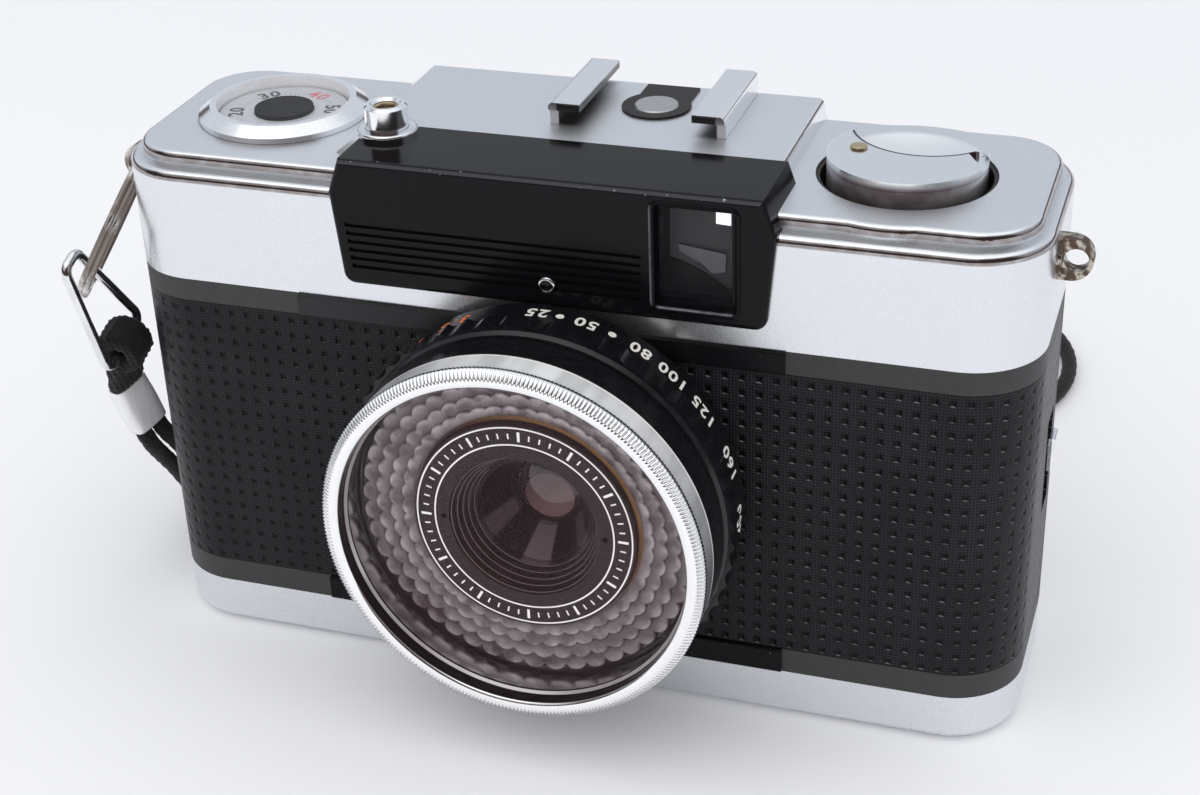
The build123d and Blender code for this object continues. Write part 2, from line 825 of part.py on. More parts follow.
rivet_foot = rewind_rim - 2.15
with BuildPart() as rewind_knob:
    add(post(rewind_x, rewind_y, rewind_base, rewind_rim, rewind_radius))
    fillet(rewind_knob.edges().group_by(Axis.Z)[-1], 0.25)
    dish_radius = 34.0
    dish_depth = 1.0
    add(
        Pos(rewind_x, rewind_y, rewind_rim - dish_depth + dish_radius)
        * Sphere(dish_radius, mode=Mode.PRIVATE),
        mode=Mode.SUBTRACT,
    )
    # flat seat under the crank
    with BuildSketch(Plane.XY.offset(rewind_base)):
        with Locations((rewind_x, rewind_y)):
            Circle(rewind_radius)
        with Locations((rewind_x + 1.0, rewind_y + crank_hollow_y)):
            Circle(crank_hollow_radius + 0.35, mode=Mode.SUBTRACT)
    extrude(amount=rewind_rim - rewind_base)
    # undercut that shows as a dark line along the crank's inner edge
    with BuildSketch(Plane.XY.offset(rewind_rim - crank_groove_depth)):
        with Locations((rewind_x, rewind_y)):
            Circle(rewind_radius - 0.5)
        with Locations((rewind_x + 1.0, rewind_y + crank_hollow_y)):
            Circle(crank_hollow_radius + 0.4, mode=Mode.INTERSECT)
            Circle(crank_hollow_radius - 0.3, mode=Mode.SUBTRACT)
    extrude(amount=3, mode=Mode.SUBTRACT)
    add(
        post(rewind_x + crank_rivet_x, rewind_y, rivet_foot, 70, crank_rivet_radius - 0.2),
        mode=Mode.SUBTRACT,
    )
    # shaft, drive collar and the fork that turns the cassette's spool
    fork_half = 2.6
    add(post(rewind_x, rewind_y, cassette_roof - 3.5, rewind_base + 0.1, shaft_radius))
    add(post(rewind_x, rewind_y, cassette_roof - 2.9, cassette_roof - 0.2, fork_half))
    fork_high = cassette_roof - 2.8
    fork_low = fork_high - 3.0
    add(
        slab(
            rewind_x - fork_half,
            rewind_x + fork_half,
            rewind_y - 0.7,
            rewind_y + 0.7,
            fork_low,
            fork_high,
        )
    )
save(rewind_knob, "rewind_knob")

# crescent crank that swings out about its rivet
with BuildPart() as rewind_crank:
    with BuildSketch(Plane.XY.offset(rewind_rim + 0.05)):
        with Locations((rewind_x, rewind_y)):
            Circle(rewind_radius)
        with Locations((rewind_x + 1.0, rewind_y + crank_hollow_y)):
            Circle(crank_hollow_radius, mode=Mode.SUBTRACT)
        with Locations((rewind_x + 9.2, rewind_y + 6.5)):
            Rectangle(5.0, 9.0, mode=Mode.SUBTRACT)
    extrude(amount=crank_thickness)
    # finger notch under the free end
    with BuildSketch(Plane.XY.offset(rewind_rim + 0.45)):
        with Locations(Location((rewind_x + 8.6, rewind_y - 0.6), -62)):
            Rectangle(5.4, 1.7)
    extrude(amount=2.0, mode=Mode.SUBTRACT)
    add(
        post(rewind_x + crank_rivet_x, rewind_y, rivet_foot, rewind_rim + 4, crank_rivet_radius - 0.2),
        mode=Mode.SUBTRACT,
    )
save(rewind_crank, "rewind_crank")

with BuildPart() as crank_rivet:
    rivet_x = rewind_x + crank_rivet_x
    crank_top = rewind_rim + 0.05 + crank_thickness
    add(post(rivet_x, rewind_y, rivet_foot, crank_top + 0.1, crank_rivet_radius - 0.2 - seat_gap))
    add(post(rivet_x, rewind_y, crank_top + 0.03, crank_top + 0.33, crank_rivet_radius + 0.15))
    fillet(crank_rivet.edges().group_by(Axis.Z)[-1], 0.2)
save(crank_rivet, "crank_rivet")

# ---------------------------------------------------------------- accessory shoe
with BuildPart() as accessory_shoe:
    shoe_floor = hump_top - cover_wall
    for side in (-1, 1):
        outer = shoe_x + side * shoe_half_outer
        wall_low, wall_high = sorted((outer, outer - side * shoe_wall))
        lip_low, lip_high = sorted((outer, outer - side * shoe_lip))
        add(slab(wall_low, wall_high, shoe_front + 0.05, shoe_back - 0.05, shoe_floor - 0.8, hump_top + 1))
        add(
            slab(
                wall_low,
                wall_high,
                shoe_front + 0.05,
                shoe_back - 0.05,
                hump_top,
                hump_top + shoe_height,
            )
        )
        add(
            slab(
                lip_low,
                lip_high,
                shoe_front - 0.6,
                shoe_back - 0.05,
                hump_top + shoe_height - 0.95,
                hump_top + shoe_height,
            )
        )
    top_edges = accessory_shoe.edges().filter_by(Axis.Y).group_by(Axis.Z)[-1]
    fillet([top_edges.sort_by(Axis.X)[0], top_edges.sort_by(Axis.X)[-1]], 0.6)
    # the bridge under the cover that joins the two rails
    bridge_back = back - shoulder_inset_rear - cover_wall
    add(
        slab(
            shoe_x - shoe_half_outer,
            shoe_x + shoe_half_outer,
            shoe_front + 0.05,
            bridge_back,
            shoe_floor - 0.8,
            shoe_floor - seat_gap,
        )
    )
    add(post(shoe_x, contact_y, 60, 69, contact_radius - 0.6), mode=Mode.SUBTRACT)
save(accessory_shoe, "accessory_shoe")

with BuildPart() as shoe_insulator:
    with BuildSketch(Plane.XY.offset(hump_top)):
        with Locations((shoe_x, contact_y)):
            Circle(insulator_radius)
        with Locations((shoe_x + 0.3, contact_y + 3.4)):
            Rectangle(6.6, 6.4)
        with Locations((shoe_x, contact_y)):
            Circle(contact_radius + seat_gap, mode=Mode.SUBTRACT)
    extrude(amount=0.3)
save(shoe_insulator, "shoe_insulator")

with BuildPart() as shoe_contact:
    add(post(shoe_x, contact_y, hump_top, hump_top + 0.45, contact_radius))
    chamfer(shoe_contact.edges().group_by(Axis.Z)[-1], 0.15)
    add(post(shoe_x, contact_y, hump_top - 2.1, hump_top + 0.1, contact_radius - 0.65))
save(shoe_contact, "shoe_contact")

# ---------------------------------------------------------------- strap eyes
for side, name in ((-1, "strap_eye_left"), (1, "strap_eye_right")):
    with BuildPart() as strap_eye:
        across = Plane(origin=(0, eye_y - eye_thickness / 2, eye_z), x_dir=(1, 0, 0), z_dir=(0, 1, 0))
        with BuildSketch(across):
            with Locations((side * (eye_x - 0.6), 0)):
                Circle(eye_radius)
            with Locations((side * (half_width + 0.75), 0)):
                Rectangle(1.5, 2 * eye_radius)
            with Locations((side * (half_width - 5), 0)):
                Rectangle(10, 10, mode=Mode.SUBTRACT)
        extrude(amount=eye_thickness)
        for hub_start, hub_length, hub_radius in ((half_width - 2.2, 2.4, 1.55), (half_width, 0.5, 2.4)):
            with BuildSketch(Plane.YZ.offset(side * hub_start)):
                with Locations((eye_y, eye_z)):
                    Circle(hub_radius)
            extrude(amount=side * hub_length)
        with BuildSketch(across):
            with Locations((side * eye_x, 0)):
                Circle(eye_hole)
        extrude(amount=eye_thickness, mode=Mode.SUBTRACT)
    save(strap_eye, name)

# ---------------------------------------------------------------- lens head
with BuildPart() as lens_base:
    add(lens_disc(lens_base_radius, 0.0, lens_base_length))
    add(lens_disc(barrel_sleeve_radius - 0.3, lens_base_length - 0.1, grip_end + 0.3))
    add(lens_disc(17.4, -1.6, 0.1))
    add(lens_disc(16.0, -3, 12), mode=Mode.SUBTRACT)
save(lens_base, "lens_base")

# film speed and aperture ring with a scalloped grip
with BuildPart() as control_ring:
    add(lens_disc(scale_radius, lens_base_length + 0.05, scale_end + 0.3))
    with BuildSketch(lens_plane.offset(scale_end)):
        Circle(grip_radius)
        with PolarLocations(grip_radius + 1.4, grip_lobes):
            Circle(1.4 + grip_lobe_depth, mode=Mode.SUBTRACT)
    extrude(amount=grip_end - scale_end)
    with BuildSketch(lens_plane.offset(grip_end)):
        Circle(grip_radius - grip_lobe_depth - 0.25)
    extrude(amount=0.5, taper=35)
    add(lens_disc(barrel_sleeve_radius - 0.3 + fit_gap, -1, 20), mode=Mode.SUBTRACT)
save(control_ring, "control_ring")

# front barrel, threaded inside for a filter
with BuildPart() as front_barrel:
    add(
        revolve(
            outline(
                lens_half,
                (16.0, grip_end + 0.32),
                (barrel_sleeve_radius - 0.35, grip_end + 0.32),
                (barrel_sleeve_radius - 0.35, grip_end + 0.6),
                (barrel_radius, grip_end + 0.6),
                (barrel_radius, barrel_end),
                (thread_radius + 0.02, barrel_end),
                (thread_radius + 0.02, 11.6),
                (window_outer + 0.02, 11.6),
                (window_outer + 0.02, 9.9),
                (16.0, 9.9),
            ),
            axis=lens_axis,
            mode=Mode.PRIVATE,
        )
    )
save(front_barrel, "front_barrel")

with BuildPart() as selenium_cell:
    add(lens_disc(window_outer - 0.3, 9.95, 11.0))
    add(lens_disc(name_ring_outer + 0.3, 9, 12), mode=Mode.SUBTRACT)
save(selenium_cell, "selenium_cell")

with BuildPart() as cell_window:
    add(lens_disc(window_outer, 11.05, 12.2))
    add(lens_disc(name_ring_outer + 0.05, 9, 15), mode=Mode.SUBTRACT)
save(cell_window, "cell_window")

# front ring of the lens, with two holes for a pin spanner
with BuildPart() as name_ring:
    add(lens_disc(name_ring_outer, 11.2, name_ring_face))
    add(lens_disc(name_ring_inner, 9, 15), mode=Mode.SUBTRACT)
    for side in (-1, 1):
        hole = lens_plane.offset(name_ring_face).location * Pos(side * 9.9, 0, 0)
        add(hole * Cylinder(0.35, 1.6, mode=Mode.PRIVATE), mode=Mode.SUBTRACT)
save(name_ring, "name_ring")

# tube that holds the front glass, with the stepped baffle in its mouth
glass_radius = 4.5
glass_edge = 4.2
glass_crown = 5.2
rib_count = 5
rib_run = (name_ring_inner - 0.03 - cone_mouth_radius) / rib_count
rib_rise = (name_ring_face - 0.3 - cone_front) / rib_count
steps = []
for rib in range(rib_count):
    step_radius = cone_mouth_radius + rib * rib_run
    step_height = cone_front + rib * rib_rise
    steps.append((step_radius, step_height))
    steps.append((step_radius + rib_run * 0.55, step_height))
    steps.append((step_radius + rib_run * 0.55, step_height + rib_rise))
with BuildPart() as lens_tube:
    add(lens_disc(15.9, 2.8, 4.0))
    add(lens_disc(name_ring_outer, 3.9, 11.15))
    add(lens_disc(name_ring_inner - 0.1, 3.98, 12), mode=Mode.SUBTRACT)
    add(
        revolve(
            outline(
                lens_half,
                (4.4, cone_depth),
                *steps,
                (name_ring_inner - 0.03, name_ring_face - 0.3),
                (name_ring_inner - 0.03, cone_depth - 0.8),
                (4.4, cone_depth - 0.8),
            ),
            axis=lens_axis,
            mode=Mode.PRIVATE,
        )
    )
    add(lens_disc(glass_radius + seat_gap, 2, 12), mode=Mode.SUBTRACT)
save(lens_tube, "lens_tube")

crown_rise = glass_crown - glass_edge
crown_radius = (glass_radius**2 + crown_rise**2) / (2 * crown_rise)
with BuildPart() as front_element:
    add(lens_disc(glass_radius, 3.0, glass_crown))
    crown = Sphere(crown_radius, mode=Mode.PRIVATE)
    add(lens_plane.offset(glass_crown - crown_radius).location * crown, mode=Mode.INTERSECT)
save(front_element, "front_element")

blade_pin_x = 2.6
blade_pin_up = 9.5
blade_pin_radius = 0.6
with BuildPart() as shutter_plate:
    add(lens_disc(15.9, -0.2, 0.6))
    add(lens_disc(4.6, -3, 3), mode=Mode.SUBTRACT)
    for side in (-1, 1):
        pin = lens_plane.offset(1.6).location * Pos(side * blade_pin_x, blade_pin_up, 0)
        add(pin * Cylinder(blade_pin_radius, 2.2, mode=Mode.PRIVATE))
save(shutter_plate, "shutter_plate")

# two thin blades, each on its own pin, that part sideways from the middle
for side, layer, name in ((-1, 1.2, "shutter_blade_left"), (1, 1.8, "shutter_blade_right")):
    with BuildPart() as blade:
        with BuildSketch(lens_plane.offset(layer)):
            with BuildLine():
                Polyline(
                    (side * 2.4, 11.4),
                    (side * 5.4, 9.0),
                    (side * 6.6, 0.5),
                    (side * 4.4, -5.6),
                    (-side * 1.4, -6.0),
                    (-side * 1.4, 7.0),
                    (side * 0.6, 9.6),
                    close=True,
                )
            make_face()
            with Locations((side * blade_pin_x, blade_pin_up)):
                Circle(blade_pin_radius + fit_gap, mode=Mode.SUBTRACT)
        extrude(amount=0.25)
    save(blade, name)

with BuildPart() as rear_element:
    add(lens_disc(5.2, -2.0, -0.25))
save(rear_element, "rear_element")

# filter: a knurled chrome ring that holds one glass
with BuildPart() as filter_ring:
    add(
        revolve(
            outline(
                lens_half,
                (filter_mouth + 0.25, 11.7),
                (thread_radius, 11.7),
                (thread_radius, filter_start),
                (filter_radius, filter_start),
                (filter_radius, filter_knurl_start),
                (filter_radius + 0.12, filter_knurl_start + 0.12),
                (filter_radius + 0.12, filter_end - 0.7),
                (filter_radius - 0.6, filter_end),
                (filter_mouth, filter_end),
                (filter_mouth, 16.4),
                (filter_mouth - 0.35, 16.2),
                (filter_mouth - 0.35, 15.9),
                (filter_mouth + 0.25, 15.9),
            ),
            axis=lens_axis,
            mode=Mode.PRIVATE,
        )
    )
    # clip that holds the glass from behind
    add(lens_disc(filter_mouth + 0.4, 14.0, 14.58))
    add(lens_disc(filter_mouth - 0.6, 12, 15), mode=Mode.SUBTRACT)
save(filter_ring, "filter_ring")

with BuildPart() as filter_glass:
    add(lens_disc(filter_mouth + 0.23, 14.6, 15.88))
save(filter_glass, "filter_glass")

# ---------------------------------------------------------------- film transport
with BuildPart() as take_up_spool:
    add(post(spool_x, bay_y, spool_low, spool_high, spool_radius))
    add(post(spool_x, bay_y, spool_low, spool_low + 1, spool_flange))
    add(post(spool_x, bay_y, spool_high - 1, spool_high, spool_flange))
    add(post(spool_x, bay_y, base_top + 0.2, deck_top + 0.2, shaft_radius))
    slit = slab(
        spool_x - 0.7, spool_x + 0.7, bay_y + 2.5, bay_y + 8, spool_low + 3, spool_high - 3.6
    )
    add(slit, mode=Mode.SUBTRACT)
save(take_up_spool, "take_up_spool")

with BuildPart() as sprocket:
    add(post(sprocket_x, sprocket_y, bay_floor + 0.4, bay_roof - 0.4, 3.2))
    for drum_z in (lens_z - film_pitch_z / 2, lens_z + film_pitch_z / 2):
        add(post(sprocket_x, sprocket_y, drum_z - 2.2, drum_z + 2.2, sprocket_radius))
        with BuildSketch(Plane.XY.offset(drum_z - 0.7)):
            with Locations((sprocket_x, sprocket_y)):
                with PolarLocations(sprocket_radius + 0.3, sprocket_teeth):
                    Rectangle(1.4, 1.3)
        extrude(amount=1.4)
    add(post(sprocket_x, sprocket_y, base_top + 0.2, deck_top + 2.5, shaft_radius))
save(sprocket, "sprocket")

# grooved wheel at the back that winds the film, with its shaft down to the deck
with BuildPart() as advance_wheel:
    with BuildSketch(Plane.XY.offset(advance_bottom)):
        with Locations((advance_x, advance_y)):
            Circle(advance_radius)
            with PolarLocations(advance_radius + 0.25, advance_teeth):
                Rectangle(1.1, 0.5, mode=Mode.SUBTRACT)
    extrude(amount=advance_top - advance_bottom)
    add(post(advance_x, advance_y, advance_bottom + 1, advance_top + 1, 9.6), mode=Mode.SUBTRACT)
    add(post(advance_x, advance_y, advance_bottom, advance_top - 0.8, 3.0))
    add(post(advance_x, advance_y, deck_top + 0.05, advance_top - 0.8, 1.2))
save(advance_wheel, "advance_wheel")

with BuildPart() as rewind_release:
    add(post(release_x, release_y, 0.3, 5.2, release_radius))
    fillet(rewind_release.edges().group_by(Axis.Z)[0], 0.4)
    add(post(release_x, release_y, 1.3, 2.3, release_radius + 1.2))
save(rewind_release, "rewind_release")

# ---------------------------------------------------------------- back door
hinge_clear = hinge_radius + running_gap


def door_shell(low, high, inset):
    """Rear part of the body's outline, as a hollow shell open to the front."""
    with BuildPart() as shell:
        with BuildSketch(Plane.XY.offset(low)):
            RectangleRounded(
                body_width - 2 * inset, body_depth - 2 * inset, corner_radius - inset
            )
            RectangleRounded(
                body_width - 2 * (skin + door_wall),
                body_depth - 2 * (skin + door_wall),
                corner_radius - skin - door_wall,
                mode=Mode.SUBTRACT,
            )
        extrude(amount=high - low)
        add(slab(-70, 70, front - 5, door_seam, 0, 60), mode=Mode.SUBTRACT)
    return shell.part


with BuildPart() as back_door:
    add(door_shell(door_bottom, grip_bottom, 0.0))
    add(door_shell(grip_bottom, grip_top, skin))
    add(door_shell(grip_top, door_height_top, 0.0))
    for low in (hinge_low - 0.3, hinge_high - knuckle_length - 0.3):
        add(post(hinge_x, hinge_y, low, low + knuckle_length + 0.6, hinge_clear), mode=Mode.SUBTRACT)
    door_low = hinge_low + knuckle_length + 0.3
    door_high = hinge_high - knuckle_length - 0.3
    add(post(hinge_x, hinge_y, door_low, door_high, hinge_radius))
    add(slab(hinge_x, hinge_x + 1.9, hinge_y + 0.4, hinge_y + 3.0, door_low, door_high))
    add(
        post(hinge_x, hinge_y, 0, 60, hinge_pin_radius + fit_gap),
        mode=Mode.SUBTRACT,
    )
    # hook that reaches into the casting beside the latch slide
    add(slab(half_width - 3.0, half_width - 2.2, front + 17.5, front + 27, hook_low, hook_high))
    add(slab(half_width - 3.0, half_width - 1.5, front + 24, front + 27, hook_low, hook_high))
save(back_door, "back_door")

with BuildPart() as door_leatherette:
    with BuildSketch(Plane.XY.offset(grip_bottom + 0.05)):
        RectangleRounded(body_width, body_depth, corner_radius)
        RectangleRounded(
            body_width - 2 * skin, body_depth - 2 * skin, corner_radius - skin, mode=Mode.SUBTRACT
        )
    extrude(amount=grip_top - grip_bottom - 0.1)
    add(slab(-70, 70, front - 5, door_seam, 0, 60), mode=Mode.SUBTRACT)
    add(post(hinge_x, hinge_y, hinge_low - 0.4, hinge_high + 0.4, 3.4), mode=Mode.SUBTRACT)
save(door_leatherette, "door_leatherette")

with BuildPart() as hinge_pin:
    add(post(hinge_x, hinge_y, hinge_low - 0.1, hinge_high + 0.1, hinge_pin_radius))
save(hinge_pin, "hinge_pin")

with BuildPart() as pressure_plate:
    add(slab(lens_x - 17, lens_x + 17, film_plane + 0.35, film_plane + 1.15, lens_z - 17, lens_z + 17))
    fillet(pressure_plate.edges().filter_by(Axis.Y), 2.5)
save(pressure_plate, "pressure_plate")

# bowed leaf spring between the pressure plate and the door
with BuildPart() as pressure_spring:
    door_inner = back - skin - door_wall
    plate_back = film_plane + 1.15
    with BuildSketch(Plane.XY.offset(lens_z - 4)):
        with BuildLine():
            spring_rise = door_inner - plate_back - 0.3
            ThreePointArc(
                (lens_x - 12, door_inner - 0.02),
                (lens_x, door_inner - spring_rise),
                (lens_x + 12, door_inner - 0.02),
            )
            ThreePointArc(
                (lens_x + 11.6, door_inner - 0.02),
                (lens_x, door_inner - spring_rise + 0.25),
                (lens_x - 11.6, door_inner - 0.02),
            )
            Line((lens_x - 12, door_inner - 0.02), (lens_x - 11.6, door_inner - 0.02))
            Line((lens_x + 12, door_inner - 0.02), (lens_x + 11.6, door_inner - 0.02))
        make_face()
    extrude(amount=8)
save(pressure_spring, "pressure_spring")

with BuildPart() as door_latch:
    add(slab(half_width - 1.6, half_width - 0.5, front + 17.0, front + 21.0, latch_low, latch_high))
    add(slab(half_width - 0.6, half_width + 0.9, front + 17.6, front + 20.4, hook_low, hook_high + 0.5))
    fillet(door_latch.edges().group_by(Axis.X)[-1], 0.4)
save(door_latch, "door_latch")


# ---------------------------------------------------------------- wrist strap
def unit(vector):
    """The same direction, one long."""
    return vector / vector.length


eye_point = Vector(-eye_x, eye_y, eye_z)
link_height = 15.0
link_down = unit(Vector(2.82, 5.50, -15.11))
link_bar = Vector(-0.167, 9.405, 3.393)
link_normal = unit(link_down.cross(link_bar))
link_bar = unit(link_normal.cross(link_down))
link_foot = Vector(-60.72, -10.56, 37.29)
# the ring runs through the eye and through the link, a little under the link's top
ring_radius = 10.0
ring_low = link_foot - link_down * (link_height - 4.0)
chord = ring_low - eye_point
across_ring = unit(chord.cross(Vector(-0.492, 0.744, -0.452)))
out_of_chord = unit(across_ring.cross(chord))
rise = (ring_radius**2 - (chord.length / 2) ** 2) ** 0.5
ring_centre = (eye_point + ring_low) * 0.5 + out_of_chord * rise
along_ring = unit(eye_point - ring_centre)

# split ring: two coils side by side
with BuildPart() as split_ring:
    coil_plane = Plane(
        origin=ring_centre, x_dir=along_ring, z_dir=across_ring.cross(along_ring)
    )
    with BuildSketch(coil_plane):
        with Locations((ring_radius, ring_wire * 0.9), (ring_radius, -ring_wire * 0.9)):
            Circle(ring_wire)
    revolve(axis=Axis(ring_centre, across_ring))
save(split_ring, "split_ring")

# wire link, narrow where it hangs in the ring and wide where it carries the strap
link_wire = 0.65
link_top_width = 3.4
link_base = 10.0
link_corner = 1.4


def wire_loop(wire):
    """The link's wire, or the room that it needs, at a given radius."""
    with BuildPart() as loop:
        with BuildLine(Plane(origin=link_foot, x_dir=link_bar, z_dir=link_normal)) as path:
            FilletPolyline(
                (-link_base / 2, 0),
                (-link_top_width / 2, link_height),
                (link_top_width / 2, link_height),
                (link_base / 2, 0),
                radius=link_corner,
                close=True,
            )
        with BuildSketch(Plane(origin=path.line @ 0, z_dir=path.line % 0)):
            Circle(wire)
        sweep(path=path.line)
    return loop.part


with BuildPart() as strap_link:
    add(wire_loop(link_wire))
save(strap_link, "strap_link")

# folded end of the strap: wrapped round the foot of the link, then gathered into the sleeve
fold_width = 4.6
fold_radius = 3.1
sleeve_width = 5.2
sleeve_thickness = 3.2
sleeve_length = 7.2
sleeve_down = unit(Vector(1.34, 1.70, -6.87))
sleeve_front = unit(sleeve_down.cross(Vector(0.35, 0.90, 0.25)))
sleeve_side = unit(sleeve_front.cross(sleeve_down))
sleeve_start = link_foot + Vector(-2.14, 2.12, -7.03)
with BuildPart() as strap_fold:
    with BuildSketch(Plane(origin=link_foot - link_bar * (fold_width / 2), z_dir=link_bar)):
        Circle(fold_radius)
    extrude(amount=fold_width)
    with BuildSketch(Plane(origin=link_foot, x_dir=sleeve_side, z_dir=sleeve_down)):
        RectangleRounded(5.0, 4.4, 1.2)
    with BuildSketch(Plane(origin=sleeve_start, x_dir=sleeve_side, z_dir=sleeve_down)):
        RectangleRounded(sleeve_width - 0.4, sleeve_thickness - 0.4, 1.0)
    loft()
    add(wire_loop(link_wire + 0.45), mode=Mode.SUBTRACT)
save(strap_fold, "strap_fold")

# sleeve that grips both ends of the cord
with BuildPart() as strap_sleeve:
    with BuildSketch(Plane(origin=sleeve_start, x_dir=sleeve_side, z_dir=sleeve_down)):
        RectangleRounded(sleeve_width, sleeve_thickness, 1.2)
    extrude(amount=sleeve_length)
save(strap_sleeve, "strap_sleeve")

# the cord leaves the sleeve, lies behind the body as one long loop, and comes back to the sleeve
cord_diameter = 2.4
floor_height = cord_diameter / 2 + 0.05
sleeve_foot = sleeve_start + sleeve_down * sleeve_length
strand_apart = 1.28
cord_exit = sleeve_foot + sleeve_side * strand_apart
cord_return = sleeve_foot - sleeve_side * strand_apart
cord_route = [
    cord_exit,
    cord_exit + sleeve_down * 2.5,
    (-60.6, -1.0, 16.8),
    (-60.6, 2.2, 10.4),
    (-60.4, 5.4, 5.4),
    (-59.6, 11.0, 2.3),
    (-57.6, 18.0, floor_height),
    (-52.6, 25.5, floor_height),
    (-43.0, 33.5, floor_height),
    (-29.0, 41.5, floor_height),
    (-11.0, 47.0, floor_height),
    (9.0, 50.0, floor_height),
    (28.0, 52.5, floor_height),
    (43.5, 59.5, floor_height),
    (51.6, 72.0, floor_height),
    (51.2, 86.5, floor_height),
    (43.0, 98.5, floor_height),
    (27.0, 103.5, floor_height),
    (8.0, 101.0, floor_height),
    (-13.0, 93.0, floor_height),
    (-32.0, 80.5, floor_height),
    (-47.5, 64.0, floor_height),
    (-57.5, 45.0, floor_height),
    (-62.5, 27.0, floor_height),
    (-64.2, 14.5, 1.8),
    (-63.9, 8.4, 3.5),
    (-63.4, 3.8, 7.2),
    (-62.9, 0.2, 12.2),
    (-62.4, -3.6, 16.6),
    cord_return + sleeve_down * 2.5,
    cord_return,
]
route = [Vector(*point) for point in cord_route]
radii = []
for before, corner, after in zip(route, route[1:], route[2:]):
    arriving = corner - before
    leaving = after - corner
    half_turn = radians(arriving.get_angle(leaving)) / 2
    radii.append(0.45 * min(arriving.length, leaving.length) / tan(half_turn))
print("exit", cord_exit, "return", cord_return, "link foot", link_foot)
print("cord radii", [round(value, 1) for value in radii])
with BuildPart() as strap_cord:
    with BuildLine() as cord_path:
        FilletPolyline(*route, radius=radii)
    with BuildSketch(Plane(origin=cord_exit, z_dir=sleeve_down)):
        Circle(cord_diameter / 2)
    sweep(path=cord_path.line)
cord_length = sum(edge.length for edge in cord_path.edges())
cord_volume = pi * (cord_diameter / 2) ** 2 * cord_length
print("cord length", round(cord_length, 1))
print("cord volumes", round(strap_cord.part.volume, 1), round(cord_volume, 1))
save(strap_cord, "strap_cord")
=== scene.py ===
"""A compact half frame camera on its wrist strap: its finishes, its worked pieces, plain light and a view.

Lengths in the makers' functions are millimetres in the camera's own frame: x to the right seen from the front,
y towards the back, z up. Forward distances along the lens are counted from the front plate."""

import math

import bpy
import numpy as np
from mathutils import Matrix, Vector


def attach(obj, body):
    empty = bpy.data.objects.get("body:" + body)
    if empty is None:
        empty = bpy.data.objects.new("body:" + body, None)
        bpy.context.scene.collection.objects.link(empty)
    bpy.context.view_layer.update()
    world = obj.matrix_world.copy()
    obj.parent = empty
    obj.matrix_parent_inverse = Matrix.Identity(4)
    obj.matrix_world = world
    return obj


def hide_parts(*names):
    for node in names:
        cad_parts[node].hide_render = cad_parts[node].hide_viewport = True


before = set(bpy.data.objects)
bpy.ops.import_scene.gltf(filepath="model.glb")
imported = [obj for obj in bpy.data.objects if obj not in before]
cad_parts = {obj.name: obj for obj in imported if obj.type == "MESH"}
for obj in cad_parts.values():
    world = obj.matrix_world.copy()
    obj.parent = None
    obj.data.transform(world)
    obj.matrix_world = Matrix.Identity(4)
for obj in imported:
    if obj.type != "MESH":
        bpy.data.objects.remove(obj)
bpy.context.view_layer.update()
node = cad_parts

MM = 0.001
TURN = 2 * math.pi

# the body: its front plane, half of the flat run of its front and of its side, and its corner radius
FRONT = -16.25
BODY_FLAT = 47.0
BODY_SIDE = 7.25
BODY_CORNER = 9.0

# heights of the two steps of the top cover
PLATE_TOP = 66.65
SHOULDER_TOP = 64.9

# middles of what stands on it, as (x, y), and two heights that go with them
COUNTER = np.array((-40.0, FRONT + 17.2))
DIAL_TOP = 66.95
BUTTON = np.array((-22.0, FRONT + 8.2))
SHOE = np.array((6.3, FRONT + 23.3))
KNOB = np.array((38.0, FRONT + 16.6))
KNOB_RIM = 68.15
CRANK_ARC = KNOB + (1.0, 8.1)

# on the front: the lens axis at the front plane, the finder's window as (x, z), and the lens's scale
LENS = np.array((0.6, FRONT, 31.0))
FINDER = np.array((17.95, 61.5))
RING_RADIUS = 23.2
LENSLETS = 46
PRINT = 0.012


# ---------------------------------------------------------------- shader building
class Value:
    """A number or colour that varies over a surface. Arithmetic on it adds Math nodes."""

    def __init__(self, shader, socket):
        self.shader, self.socket = shader, socket

    def math(self, operation, *others):
        """One Math node with this value first."""
        terms = dict(enumerate((self, *others)))
        return self.shader.add("ShaderNodeMath", {"operation": operation}, terms)

    def __add__(self, other):
        return self.math("ADD", other)

    def __sub__(self, other):
        return self.math("SUBTRACT", other)

    def __mul__(self, other):
        return self.math("MULTIPLY", other)

    def __truediv__(self, other):
        return self.math("DIVIDE", other)

    def __pow__(self, other):
        return self.math("POWER", other)

    def __rsub__(self, other):
        return self.shader.add("ShaderNodeMath", {"operation": "SUBTRACT"}, {0: other, 1: self})

    def __abs__(self):
        return self.math("ABSOLUTE")

    __radd__ = __add__

    def most(self, other):
        return self.math("MAXIMUM", other)

    def least(self, other):
        return self.math("MINIMUM", other)

    def wave(self):
        return self.math("SINE")

    def part(self):
        """What is left over a whole number."""
        return self.math("FRACT")

    def ramp(self, low, high):
        """A soft step from 0 at low to 1 at high."""
        return self.shader.add(
            "ShaderNodeMapRange", {"interpolation_type": "SMOOTHSTEP"}, {0: self, 1: low, 2: high}
        )

    def band(self, middle, half, soft):
        """1 within half of middle, falling to 0 over soft."""
        return abs(self - middle).ramp(half + soft, half)

    def other(self, name):
        """Another output of the node this value comes from."""
        return Value(self.shader, self.socket.node.outputs[name])


